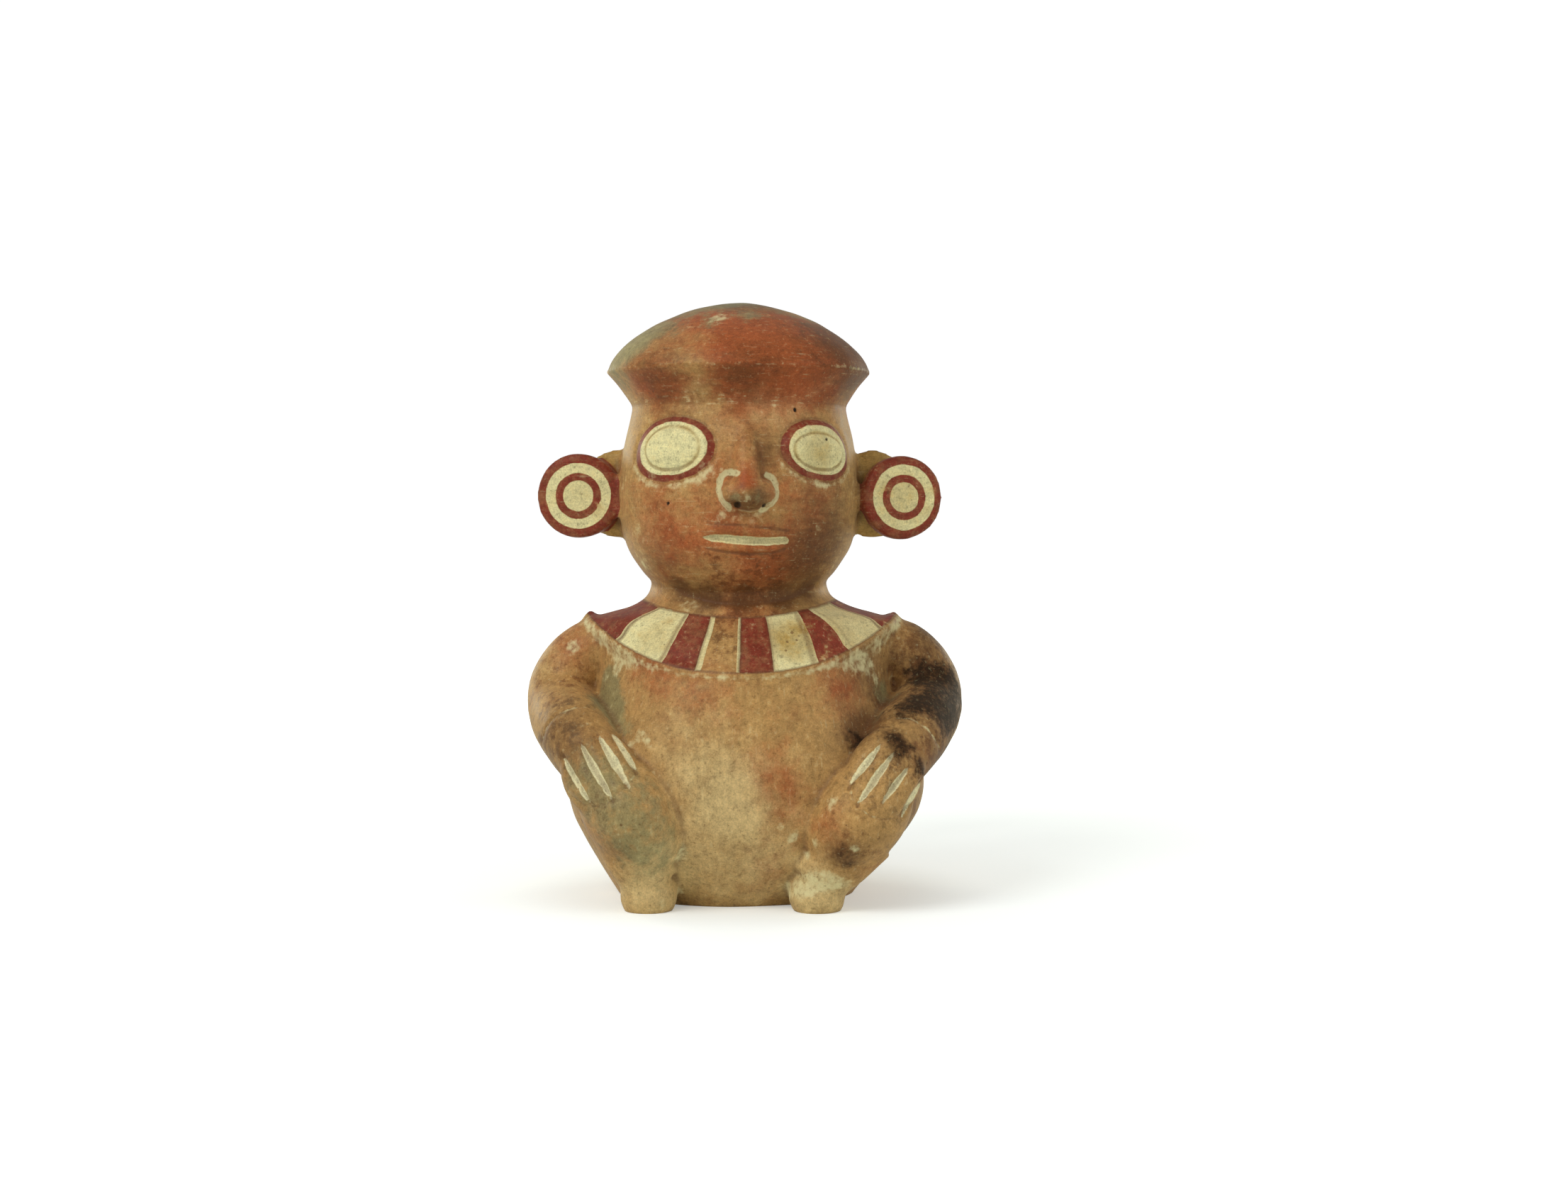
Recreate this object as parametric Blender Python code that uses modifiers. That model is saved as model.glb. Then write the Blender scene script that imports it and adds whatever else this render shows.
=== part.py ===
"""A bottle of moulded earthenware in the form of a seated figure, with a stirrup spout on its back.

Metres, +Z up. The figure faces -Y, and the origin is on its flat underside, below the middle of
the body. The forms of the figure are written in millimetres of a figure 230 mm tall, and MM makes
them follow FIGURE_HEIGHT. Left and right are the viewer's, so left is -X.
"""

import math

import bmesh
import bpy
from mathutils import Matrix, Vector

# Sizes that are each set by themselves
FIGURE_HEIGHT = 0.230  # underside to the crown of the cap
WALL = 0.0045  # fired clay between the outside and the hollow
TUBE_DIAMETER = 0.019  # the stirrup, outside
TUBE_BORE = 0.011
HANDLE_REACH = 0.040  # half of the stirrup's depth, on its centre line
HANDLE_RISE = 0.050  # half of the stirrup's height, on its centre line
SPOUT_HEIGHT = 0.056  # from the stirrup's centre line to the lip
SPOUT_DIAMETER = 0.0175
SPOUT_BORE = 0.0105
LIP_DIAMETER = 0.0205
LIP_DEPTH = 0.004
LIP_FLARE = 0.0016  # how much of the lip's depth widens from the spout

MM = FIGURE_HEIGHT / 230.0  # one millimetre of the figure

# The fused surface
GRAIN = 1.5 * MM  # size of the cells in which the forms are fused
SMOOTHING_PASSES = 4
KEPT_TRIANGLES = 0.047  # share of the fused surface's triangles that is kept
AROUND = 72  # corners around a turned or lofted form
CAVITY_AROUND = 26

# Torso sections: height, half width, half depth, shift to the right, squareness
TORSO = (
    (-5, 43.5, 37.5, -3.6, 2.0),
    (0, 46.5, 41.0, -3.6, 2.0),
    (6, 50.5, 46.0, -3.2, 2.1),
    (14, 56.0, 52.0, -2.4, 2.2),
    (22, 61.8, 57.0, -1.0, 2.2),
    (32, 67.6, 60.5, 0.0, 2.2),
    (44, 70.0, 61.5, 0.0, 2.2),
    (58, 66.5, 60.0, 0.0, 2.2),
    (72, 61.0, 57.5, 0.0, 2.1),
    (84, 58.0, 54.5, 0.0, 2.0),
    (93, 58.0, 50.0, 0.0, 2.0),
    (101, 60.0, 43.0, 0.0, 2.0),
    (106.5, 59.5, 37.5, -0.5, 2.0),
    (109, 52.0, 35.5, -1.0, 2.0),
    (111.5, 43.0, 34.0, -1.8, 2.0),
    (115.5, 36.3, 32.5, -2.3, 2.0),
    (121, 34.3, 31.5, -2.3, 2.0),
    (128, 34.0, 31.5, -2.3, 2.0),
)
NECK_TOP = 123.0  # where the torso's hollow opens into the head's
HEEL = 3.0  # the slope between the hollow's floor and its wall

# Head and cap: radius and height
CAP_EDGE = (51.0, 202.0)
CAP_TOP = 230.0
CAP_SHARPNESS = 1.64  # power of the crown's curve; 2 is an ellipse
FACE = (
    (46.0, 196.0),
    (42.0, 189.5),
    (42.6, 184.0),
    (44.4, 176.0),
    (46.0, 164.0),
    (46.2, 150.0),
    (44.8, 139.0),
    (41.2, 130.5),
    (35.2, 122.5),
    (25.0, 115.5),
    (12.0, 111.0),
)
CHIN_BOTTOM = 109.5
HEAD_CENTRE = (-2.3, -4.0)
HEAD_DEPTH = 0.95  # depth over width
HEAD_TURN = math.radians(5.0)  # the face looks a little to the viewer's right

# Limbs, on the right side: place (across, back, height) and radius
ARM = (
    (52, -3, 95, 12.3),
    (60, -3, 93.5, 13.0),
    (66.5, -3.5, 88, 13.5),
    (70.7, -5, 80, 13.7),
    (70.4, -12, 73, 13.8),
    (66.5, -25, 67.5, 14.0),
    (61.5, -37, 62.5, 14.0),
    (56.5, -47, 56.5, 13.0),
)
PALM = ((52.5, -55.0, 51.0), (14.0, 9.5, 20.0))
PALM_TURN = (math.radians(-24), math.radians(-27))
KNEE_PLACES = (-41.0, 43.0)  # left and right, measured across
KNEE = ((-50.0, 36.0), (17.5, 21.0, 24.0))
KNEE_LEAN = math.radians(38)
SHIN = ((-50, 30, 15.0), (-49, 20, 13.2), (-47.5, 11, 10.6))
FOOT_PLACES = (-34.8, 27.4)
FOOT = ((-47.5, 5.5), (10.6, 11.4, 10.2))

# Face and ears, in the head's own frame: across the surface, height, and how far out
EYE = ((30.0, 170.8), (14.8, 10.0, 3.5))
EYE_SINK = 1.9
EYE_TILT = math.radians(4.0)
BRIDGE = ((0, 179, -2.5, 3.0), (0, 174, -1.0, 4.0), (0, 166, 1.7, 4.6), (0, 157, 3.8, 5.2))
NOSTRIL = ((5.6, 154.2, 0.6), (4.9, 6.6, 5.6))
NOSE_TIP = ((0.4, 154.6, 1.5), (7.6, 8.6, 6.4))
LIP_HEIGHTS = (141.8, 134.4)
LIP_REACH = 17.5
LIP_RADIUS = 2.2
LIP_SINK = 1.1
EAR = ((50.0, -1.0, 155.6), (15.0, 4.5, 17.2))
DISC_PLACES = ((-64.2, -7.0, 154.6), (60.8, -7.0, 154.0))  # left and right
DISC_TURNS = (math.radians(-4), math.radians(17))
DISC_RADIUS = 16.3
DISC_THICKNESS = 7.0
DISC_BEVEL = 1.2

# The collar's hem: the height of its lowest point and of its corners on the shoulders
COLLAR_LOW, COLLAR_CORNER = 87.5, 108.3
COLLAR_MIDDLE, COLLAR_REACH = -1.2, 61.3
COLLAR_BEND = 2.5  # power of the hem's rise towards the corners
HEM_RADIUS = 2.6
HEM_SINK = 1.4

# The stirrup's ellipse, behind the figure, and where its ends enter the hollow
HANDLE_CENTRE = (68.0, 118.0)
HANDLE_START, HANDLE_END = math.radians(128), math.radians(-108)
HEAD_ENTRY = (32.0, 146.0)
BACK_ENTRY = (44.0, 77.0)
HANDLE_STEPS = 9

OVERRUN = 0.010  # how far a cutter runs past what it cuts
LIP_SPARE = 0.002  # how much taller the spout is made than its lip, which is then cut level
FOLDED = 0.985  # a point of an inset outline nearer than this share of its depth has folded over


def spline(points, steps):
    """Points on a smooth curve through the given ones, with so many steps to each span."""
    ends = [points[0], *points, points[-1]]
    curve = []
    for a, b, c, d in zip(ends, ends[1:], ends[2:], ends[3:]):
        for i in range(steps):
            t = i / steps
            curve.append(tuple(
                0.5 * (2 * q + (r - p) * t + (2 * p - 5 * q + 4 * r - s) * t**2
                       + (3 * q - p - 3 * r + s) * t**3)
                for p, q, r, s in zip(a, b, c, d)
            ))
    return [*curve, tuple(map(float, points[-1]))]


def add_object(name, data):
    item = bpy.data.objects.new(name, data)
    bpy.context.scene.collection.objects.link(item)
    return item


def evaluated_copy(item):
    """The object's evaluated mesh, in world space."""
    bpy.context.view_layer.update()
    graph = bpy.context.evaluated_depsgraph_get()
    mesh = bpy.data.meshes.new_from_object(item.evaluated_get(graph))
    mesh.transform(item.matrix_world)
    return mesh


def join(name, pieces):
    """One object that holds the pieces' meshes, which may cross each other."""
    both = bmesh.new()
    for piece in pieces:
        both.from_mesh(evaluated_copy(piece))
        bpy.data.objects.remove(piece)
    bmesh.ops.remove_doubles(both, verts=both.verts, dist=1e-6)
    mesh = bpy.data.meshes.new(name)
    both.to_mesh(mesh)
    both.free()
    return add_object(name, mesh)


def loft(name, sections, around):
    """A closed body through level sections: height, half width, half depth, shift, squareness."""
    body = bmesh.new()
    rings = []
    for height, width, depth, shift, squareness in sections:
        ring = []
        for i in range(around):
            angle = 2 * math.pi * i / around
            across, back = math.cos(angle), math.sin(angle)
            size = (abs(across) ** squareness + abs(back) ** squareness) ** (-1 / squareness)
            ring.append(body.verts.new((shift + width * across * size, depth * back * size, height)))
        rings.append(ring)
    for lower, upper in zip(rings, rings[1:]):
        for i in range(around):
            j = (i + 1) % around
            body.faces.new((lower[i], lower[j], upper[j], upper[i]))
    body.faces.new(rings[0][::-1])
    body.faces.new(rings[-1])
    mesh = bpy.data.meshes.new(name)
    body.to_mesh(mesh)
    body.free()
    return add_object(name, mesh)


def turned(name, outline, around):
    """A turned body: the outline is radius and height, from its top on the axis to its bottom."""
    mesh = bpy.data.meshes.new(name)
    points = [(radius, 0, height) for radius, height in outline]
    mesh.from_pydata(points, [(i, i + 1) for i in range(len(points) - 1)], [])
    body = add_object(name, mesh)
    screw = body.modifiers.new("Turn", "SCREW")
    screw.axis = "Z"
    screw.steps = screw.render_steps = around
    screw.use_merge_vertices = True
    screw.merge_threshold = 1e-6
    return body


def tube(name, beads, sides=6):
    """A round bar with closed ends through places with a radius each."""
    curve = bpy.data.curves.new(name, "CURVE")
    curve.dimensions = "3D"
    curve.bevel_depth = 1.0
    curve.bevel_resolution = sides
    curve.use_fill_caps = True
    path = curve.splines.new("POLY")
    path.points.add(len(beads) - 1)
    for point, (across, back, height, radius) in zip(path.points, beads):
        point.co = (across, back, height, 1)
        point.radius = radius
    return add_object(name, curve)


def blob(name, centre, half_sizes, turns=(0, 0, 0)):
    """An egg shape, with its own axes turned about X, Y and Z."""
    bpy.ops.mesh.primitive_uv_sphere_add(segments=32, ring_count=20, radius=1)
    egg = bpy.context.object
    egg.name = name
    egg.location = centre
    egg.rotation_euler = turns
    egg.scale = half_sizes
    return egg


def scaled(rows, size=MM, kept=0):
    """The rows in metres, with the last columns, so many, as they are."""
    return [tuple(v if i >= len(row) - kept else v * size for i, v in enumerate(row)) for row in rows]


def mirrored(centre, side):
    return Vector((centre[0] * side, centre[1], centre[2]))


# Torso and limbs


def torso_sections():
    return spline(scaled(TORSO, kept=1), steps=4)


def limbs(side):
    """An arm with its hand, and a drawn-up leg, of the left (-1) or right (1) side."""
    arm = [(x * side, y, z, r) for x, y, z, r in spline(scaled(ARM), steps=5)]
    knee, foot = (places[side > 0] for places in (KNEE_PLACES, FOOT_PLACES))
    shin = []
    for i, (back, height, radius) in enumerate(SHIN):
        across = knee + (foot - knee) * i / (len(SHIN) - 1)
        shin.append((across * MM, back * MM, height * MM, radius * MM))
    tilt, lean = PALM_TURN
    return [
        tube("arm", arm),
        blob("shoulder", arm[0][:3], [arm[0][3]] * 3),
        blob("palm", mirrored(PALM[0], side) * MM, Vector(PALM[1]) * MM, (tilt, -lean * side, 0)),
        blob("knee", Vector((knee, *KNEE[0])) * MM, Vector(KNEE[1]) * MM, (0, KNEE_LEAN * side, 0)),
        tube("shin", shin),
        blob("foot", Vector((foot, *FOOT[0])) * MM, Vector(FOOT[1]) * MM),
    ]


def at_height(outline, height):
    """The value of an outline, which runs downwards, at a height."""
    for (r0, z0), (r1, z1) in zip(outline, outline[1:]):
        if z1 <= height <= z0:
            return r0 + (r1 - r0) * (z0 - height) / max(z0 - z1, 1e-9)
    return outline[-1][0]


def torso_depth(across, height):
    """How far the torso's skin is from its middle plane, straight in front or behind."""
    sections = torso_sections()[::-1]
    width, depth, shift, squareness = (
        at_height([(row[i], row[0]) for row in sections], height) for i in (1, 2, 3, 4)
    )
    share = min(abs(across - shift) / width, 1)
    return depth * (1 - share**squareness) ** (1 / squareness)


def collar():
    """The collar's raised hem, in front and behind, which meets in a corner on each shoulder."""
    pieces = []
    steps = 28
    for facing in (-1, 1):
        beads = []
        for i in range(steps + 1):
            share = math.sin(math.pi * (i / steps - 0.5))
            height = COLLAR_LOW + (COLLAR_CORNER - COLLAR_LOW) * abs(share) ** COLLAR_BEND
            across = (COLLAR_MIDDLE + COLLAR_REACH * share) * MM
            depth = torso_depth(across, height * MM) - HEM_SINK * MM
            beads.append((across, facing * max(depth, 0), height * MM, HEM_RADIUS * MM))
        pieces.append(tube("collar", beads))
    return pieces


# Head


def crown_outline():
    """The cap's crown, from its top on the axis to just above its edge."""
    radius, edge = CAP_EDGE
    rise = CAP_TOP - edge
    steps = 14
    outline = []
    for i in range(steps):
        angle = math.pi / 2 * i / steps
        across = math.sin(angle) ** (2 / CAP_SHARPNESS)
        outline.append((radius * across, edge + rise * math.cos(angle) ** (2 / CAP_SHARPNESS)))
    return outline


def head_outline():
    face = spline([CAP_EDGE, *FACE, (0, CHIN_BOTTOM)], steps=5)
    return [(r * MM, z * MM) for r, z in [*crown_outline(), *face]]


def head_frame():
    """Places a thing made about the head's axis."""
    across, back = HEAD_CENTRE
    return Matrix.Translation((across * MM, back * MM, 0)) @ Matrix.Rotation(HEAD_TURN, 4, "Z")


def face_place(across, height, out=0.0):
    """A place on the face, so far across the surface from its middle, and its turn about Z."""
    radius = min(head_outline(), key=lambda point: abs(point[1] - height * MM) + (point[0] == 0))[0]
    angle = across * MM / radius
    radius += out * MM
    place = Vector((radius * math.sin(angle), -radius * math.cos(angle) * HEAD_DEPTH, height * MM))
    return head_frame() @ place, angle + HEAD_TURN


def head_body():
    body = turned("head", head_outline(), AROUND)
    body.matrix_world = head_frame() @ Matrix.Diagonal((1, HEAD_DEPTH, 1, 1))
    return body


def nose():
    beads = []
    for *where, radius in spline(BRIDGE, steps=4):
        place, _ = face_place(*where)
        beads.append((*place, radius * MM))
    pieces = [tube("bridge", beads)]
    tip, turn = face_place(*NOSE_TIP[0])
    pieces.append(blob("nose_tip", tip, Vector(NOSE_TIP[1]) * MM, (0, 0, turn)))
    for side in (-1, 1):
        (across, height, out), sizes = NOSTRIL
        place, turn = face_place(across * side, height, out)
        pieces.append(blob("nostril", place, Vector(sizes) * MM, (0, 0, turn)))
    return pieces


def eyes():
    pieces = []
    for side in (-1, 1):
        (across, height), (width, tall, deep) = EYE
        place, turn = face_place(across * side, height, -EYE_SINK)
        pieces.append(blob("eye", place, Vector((width, deep, tall)) * MM, (0, EYE_TILT * side, turn)))
    return pieces


def lips():
    pieces = []
    steps = 12
    for height in LIP_HEIGHTS:
        beads = []
        for i in range(steps + 1):
            share = 2 * i / steps - 1
            place, _ = face_place(LIP_REACH * share, height, -LIP_SINK)
            beads.append((*place, LIP_RADIUS * (1 - share**4 / 2) * MM))
        pieces.append(tube("lip", beads))
    return pieces


def ears():
    """An ear's flange and the round plug that it carries, on each side."""
    pieces = []
    for side, place, turn in zip((-1, 1), DISC_PLACES, DISC_TURNS):
        centre, sizes = EAR
        pieces.append(blob("ear", mirrored(centre, side) * MM, Vector(sizes) * MM))
        bpy.ops.mesh.primitive_cylinder_add(vertices=64, radius=DISC_RADIUS * MM,
                                            depth=DISC_THICKNESS * MM)
        disc = bpy.context.object
        disc.location = Vector(place) * MM
        disc.rotation_euler = (math.pi / 2, 0, turn)
        bevel = disc.modifiers.new("Edge", "BEVEL")
        bevel.width = DISC_BEVEL * MM
        bevel.segments = 3
        pieces.append(disc)
    return pieces


# Stirrup


def stirrup_path(radius, steps):
    """Beads from the head's hollow, over the crown of the stirrup, into the torso's hollow."""
    back, height = HANDLE_CENTRE
    places = [HEAD_ENTRY]
    for i in range(HANDLE_STEPS + 1):
        angle = HANDLE_START + (HANDLE_END - HANDLE_START) * i / HANDLE_STEPS
        places.append((back + HANDLE_REACH / MM * math.cos(angle),
                       height + HANDLE_RISE / MM * math.sin(angle)))
    places.append(BACK_ENTRY)
    return [(0.0, y * MM, z * MM, radius) for y, z in spline(places, steps)]


def spout_foot():
    """The crown of the stirrup's centre line, where the spout stands."""
    return Vector((0, HANDLE_CENTRE[0] * MM, HANDLE_CENTRE[1] * MM + HANDLE_RISE))


def spout_outline():
    """The spout's outside above its foot, with its lip and some spare height."""
    radius, lip = SPOUT_DIAMETER / 2, LIP_DIAMETER / 2
    top = SPOUT_HEIGHT + LIP_SPARE
    lip_bottom = SPOUT_HEIGHT - LIP_DEPTH
    return [(0, top), (lip, top), (lip, lip_bottom + LIP_FLARE), (radius, lip_bottom),
            (TUBE_DIAMETER / 2, 0), (0, 0)]


def stirrup():
    body = turned("spout", spout_outline(), AROUND)
    body.location = spout_foot()
    return [tube("handle", stirrup_path(TUBE_DIAMETER / 2, steps=4)), body]


# Hollow


def inset(outline, depth):
    """The outline moved inwards, without the stretches where it would fold over itself."""
    moved = []
    for i, (radius, height) in enumerate(outline):
        before, after = outline[max(i - 1, 0)], outline[min(i + 1, len(outline) - 1)]
        along = Vector((after[0] - before[0], after[1] - before[1])).normalized()
        place = Vector((radius + along.y * depth, height - along.x * depth))
        clear = all((place - Vector(other)).length > depth * FOLDED for other in outline)
        if clear and place.x > 0:
            moved.append(tuple(place))
    return moved


def torso_cavity():
    """The torso's hollow: flat on its floor, and open upwards into the head's."""
    sections = torso_sections()[::-1]
    sides = inset([(width, height) for height, width, _, _, _ in sections], WALL)
    fronts = inset([(depth, height) for height, _, depth, _, _ in sections], WALL)
    shifts = [(shift, height) for height, _, _, shift, _ in sections]
    squares = [(squareness, height) for height, _, _, _, squareness in sections]
    floor, top, heel = WALL, NECK_TOP * MM, HEEL * MM
    between = [height * MM for height, *_ in TORSO]
    levels = [floor, floor + heel]
    levels += [height for height in between if floor + 2 * heel < height < top - heel]
    levels.append(top)
    rows = []
    for level in levels:
        narrower = heel if level == floor else 0
        rows.append((level, at_height(sides, level) - narrower, at_height(fronts, level) - narrower,
                     at_height(shifts, level), at_height(squares, level)))
    return loft("torso_cavity", rows, CAVITY_AROUND)


def head_cavity():
    hollow = inset(head_outline(), WALL)[::3]
    top = (0, CAP_TOP * MM - WALL)
    bottom = (0, CHIN_BOTTOM * MM + WALL)
    body = turned("head_cavity", [top, *hollow, bottom], CAVITY_AROUND)
    body.matrix_world = head_frame() @ Matrix.Diagonal((1, HEAD_DEPTH, 1, 1))
    return body


def spout_bore():
    bpy.ops.mesh.primitive_cylinder_add(vertices=24, radius=SPOUT_BORE / 2,
                                        depth=SPOUT_HEIGHT + OVERRUN)
    bore = bpy.context.object
    bore.name = "spout_bore"
    bore.location = spout_foot() + Vector((0, 0, (SPOUT_HEIGHT + OVERRUN) / 2))
    return bore


def block(name, centre, size):
    bpy.ops.mesh.primitive_cube_add(size=1)
    cube = bpy.context.object
    cube.name = name
    cube.location = centre
    cube.scale = size
    return cube


def cutters():
    """What is taken from the fused clay: the level cuts below and at the lip, and the hollow."""
    low = block("floor_cut", (0, 0, -FIGURE_HEIGHT / 4),
                (FIGURE_HEIGHT, FIGURE_HEIGHT, FIGURE_HEIGHT / 2))
    lip = spout_foot() + Vector((0, 0, SPOUT_HEIGHT + OVERRUN))
    high = block("lip_cut", lip, (LIP_DIAMETER * 2, LIP_DIAMETER * 2, OVERRUN * 2))
    bore = join("stirrup_bore", [tube("bore_path", stirrup_path(TUBE_BORE / 2, steps=2), sides=2)])
    head = join("head_hollow", [head_cavity()])
    return [low, high, torso_cavity(), head, bore, spout_bore()]


# The vessel


def clay():
    """Fired clay under a worn orange slip."""
    material = bpy.data.materials.new("earthenware")
    material.use_nodes = True
    shader = material.node_tree.nodes["Principled BSDF"]
    shader.inputs["Base Color"].default_value = (0.40, 0.21, 0.085, 1)
    shader.inputs["Roughness"].default_value = 0.72
    shader.inputs["Metallic"].default_value = 0.0
    return material


def vessel(collection, cutter_collection):
    pieces = [loft("torso", torso_sections(), AROUND), head_body()]
    pieces += limbs(-1) + limbs(1) + collar() + nose() + eyes() + lips() + ears() + stirrup()
    body = join("vessel", pieces)
    fuse = body.modifiers.new("Fuse", "REMESH")
    fuse.mode = "VOXEL"
    fuse.voxel_size = GRAIN
    smooth = body.modifiers.new("Smooth joins", "SMOOTH")
    smooth.iterations = SMOOTHING_PASSES
    fewer = body.modifiers.new("Fewer faces", "DECIMATE")
    fewer.ratio = KEPT_TRIANGLES
    for cutter in cutters():
        cut = body.modifiers.new(cutter.name, "BOOLEAN")
        cut.operation = "DIFFERENCE"
        cut.solver = "EXACT"
        cut.object = cutter
        cutter.display_type = "WIRE"
        cutter.hide_render = True
        move_to(cutter, cutter_collection)
    body.data.materials.append(clay())
    move_to(body, collection)
    return body


def move_to(item, collection):
    for holder in list(item.users_collection):
        holder.objects.unlink(item)
    collection.objects.link(item)


def main():
    for item in list(bpy.data.objects):
        bpy.data.objects.remove(item)
    collections = []
    for name in ("stirrup_spout_vessel", "cutters"):
        collection = bpy.data.collections.new(name)
        bpy.context.scene.collection.children.link(collection)
        collections.append(collection)
    vessel(*collections)


main()
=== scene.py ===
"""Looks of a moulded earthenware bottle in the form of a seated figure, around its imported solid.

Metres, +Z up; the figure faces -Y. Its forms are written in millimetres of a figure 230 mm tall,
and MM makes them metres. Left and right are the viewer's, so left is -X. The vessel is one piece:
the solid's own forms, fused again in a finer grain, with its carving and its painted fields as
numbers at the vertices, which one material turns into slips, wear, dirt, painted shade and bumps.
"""

import math

import bmesh
import bpy
import numpy as np
from mathutils import Matrix, Vector, noise


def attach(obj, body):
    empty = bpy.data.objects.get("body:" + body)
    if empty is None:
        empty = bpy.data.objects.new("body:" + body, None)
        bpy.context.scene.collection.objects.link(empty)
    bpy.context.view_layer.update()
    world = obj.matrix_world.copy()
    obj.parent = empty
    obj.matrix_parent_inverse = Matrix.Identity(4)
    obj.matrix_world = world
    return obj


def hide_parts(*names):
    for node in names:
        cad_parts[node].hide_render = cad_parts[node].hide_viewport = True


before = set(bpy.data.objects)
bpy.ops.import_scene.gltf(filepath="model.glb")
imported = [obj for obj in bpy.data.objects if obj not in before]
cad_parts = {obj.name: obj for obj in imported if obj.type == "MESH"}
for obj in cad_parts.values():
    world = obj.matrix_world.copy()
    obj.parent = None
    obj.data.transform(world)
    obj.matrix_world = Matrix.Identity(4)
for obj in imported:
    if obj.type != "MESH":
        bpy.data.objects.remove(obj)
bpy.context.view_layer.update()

MM = 0.001

# Sizes of the stirrup and the wall, in metres, as in the solid
WALL = 0.0045
TUBE_DIAMETER = 0.019
TUBE_BORE = 0.011
HANDLE_REACH = 0.040
HANDLE_RISE = 0.050
SPOUT_HEIGHT = 0.056
SPOUT_DIAMETER = 0.0175
SPOUT_BORE = 0.0105
LIP_DIAMETER = 0.0205
LIP_DEPTH = 0.004
LIP_FLARE = 0.0016  # how much of the lip's depth widens from the spout

# The fused surface
GRAIN = 1.15 * MM  # size of the cells in which the forms are fused
SMOOTHING_PASSES = 7
THINNED = 0.72  # share of the triangles kept once everything is cut
AROUND = 144  # corners around a turned or lofted form
CAVITY_AROUND = 96
EGG_MESH = {"segments": 64, "ring_count": 40}
MERGED = 1e-6  # vertices nearer than this are one

# Torso sections: height, half width, half depth, shift to the right, squareness
TORSO = (
    (-5, 43.5, 37.5, -3.6, 2.0),
    (0, 46.5, 41.0, -3.6, 2.0),
    (6, 50.5, 46.0, -3.2, 2.1),
    (14, 56.0, 52.0, -2.4, 2.2),
    (22, 61.8, 57.0, -1.0, 2.2),
    (32, 67.6, 60.5, 0.0, 2.2),
    (44, 70.0, 61.5, 0.0, 2.2),
    (58, 66.5, 60.0, 0.0, 2.2),
    (72, 61.0, 57.5, 0.0, 2.1),
    (84, 58.0, 54.5, 0.0, 2.0),
    (93, 58.0, 50.0, 0.0, 2.0),
    (101, 60.0, 43.0, 0.0, 2.0),
    (106.5, 59.5, 37.5, -0.5, 2.0),
    (109, 52.0, 35.5, -1.0, 2.0),
    (111.5, 43.0, 34.0, -1.8, 2.0),
    (115.5, 36.3, 32.5, -2.3, 2.0),
    (121, 34.3, 31.5, -2.3, 2.0),
    (128, 34.0, 31.5, -2.3, 2.0),
)
NECK_TOP = 123.0
HEEL = 3.0  # the slope between the hollow's floor and its wall

# Head and cap: radius and height
CAP_EDGE = (51.0, 202.0)
CAP_TOP = 230.0
CAP_SHARPNESS = 1.64
FACE = (
    (46.0, 196.0),
    (42.0, 189.5),
    (42.6, 184.0),
    (44.4, 176.0),
    (46.0, 164.0),
    (46.2, 150.0),
    (44.8, 139.0),
    (41.2, 130.5),
    (35.2, 122.5),
    (25.0, 115.5),
    (12.0, 111.0),
)
CHIN_BOTTOM = 109.5
HEAD_CENTRE = (-2.3, -4.0)
HEAD_DEPTH = 0.95
HEAD_TURN = math.radians(5.0)
FACE_RADIUS = 45.5  # turns an angle about the head into millimetres across the face

# Limbs, on the right side: place (across, back, height) and radius
ARM = (
    (52, -3, 95, 12.3),
    (60, -3, 93.5, 13.0),
    (66.5, -3.5, 88, 13.5),
    (70.7, -5, 80, 13.7),
    (70.4, -12, 73, 13.8),
    (66.5, -25, 67.5, 14.0),
    (61.5, -37, 62.5, 14.0),
    (56.5, -47, 56.5, 13.0),
)
PALM = ((52.5, -55.0, 51.0), (14.0, 9.5, 20.0))
PALM_TURN = (math.radians(-24), math.radians(-27))
KNEE_PLACES = (-41.0, 43.0)
KNEE = ((-50.0, 36.0), (17.5, 21.0, 24.0))
KNEE_LEAN = math.radians(38)
SHIN = ((-50, 30, 15.0), (-49, 20, 13.2), (-47.5, 11, 10.6))
FOOT_PLACES = (-34.8, 27.4)
FOOT = ((-47.5, 5.5), (10.6, 11.4, 10.2))

# Face and ears, in the head's own frame: across the surface, height, and how far out
EYE = ((30.0, 170.8), (14.8, 10.0, 3.5))
EYE_SINK = 1.9
EYE_TILT = math.radians(4.0)
BRIDGE = ((0, 179, -2.5, 3.0), (0, 174, -1.0, 4.0), (0, 166, 1.7, 4.6), (0, 157, 3.8, 5.2))
NOSTRIL = ((5.6, 154.2, 0.6), (4.9, 6.6, 5.6))
NOSE_TIP = ((0.4, 154.6, 1.5), (7.6, 8.6, 6.4))
LIP_HEIGHTS = (141.8, 134.4)
LIP_REACH = 17.5
LIP_RADIUS = 2.2
LIP_SINK = 1.1
EAR = ((50.0, -1.0, 155.6), (15.0, 4.5, 17.2))
DISC_PLACES = ((-64.2, -7.0, 154.6), (60.8, -7.0, 154.0))
DISC_TURNS = (math.radians(-4), math.radians(17))
DISC_RADIUS = 16.3
DISC_THICKNESS = 7.0
DISC_BEVEL = 1.2

# The collar's hem
COLLAR_LOW, COLLAR_CORNER = 87.5, 108.3
COLLAR_MIDDLE, COLLAR_REACH = -1.2, 61.3
COLLAR_BEND = 2.5
HEM_RADIUS = 2.6
HEM_SINK = 1.4

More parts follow.
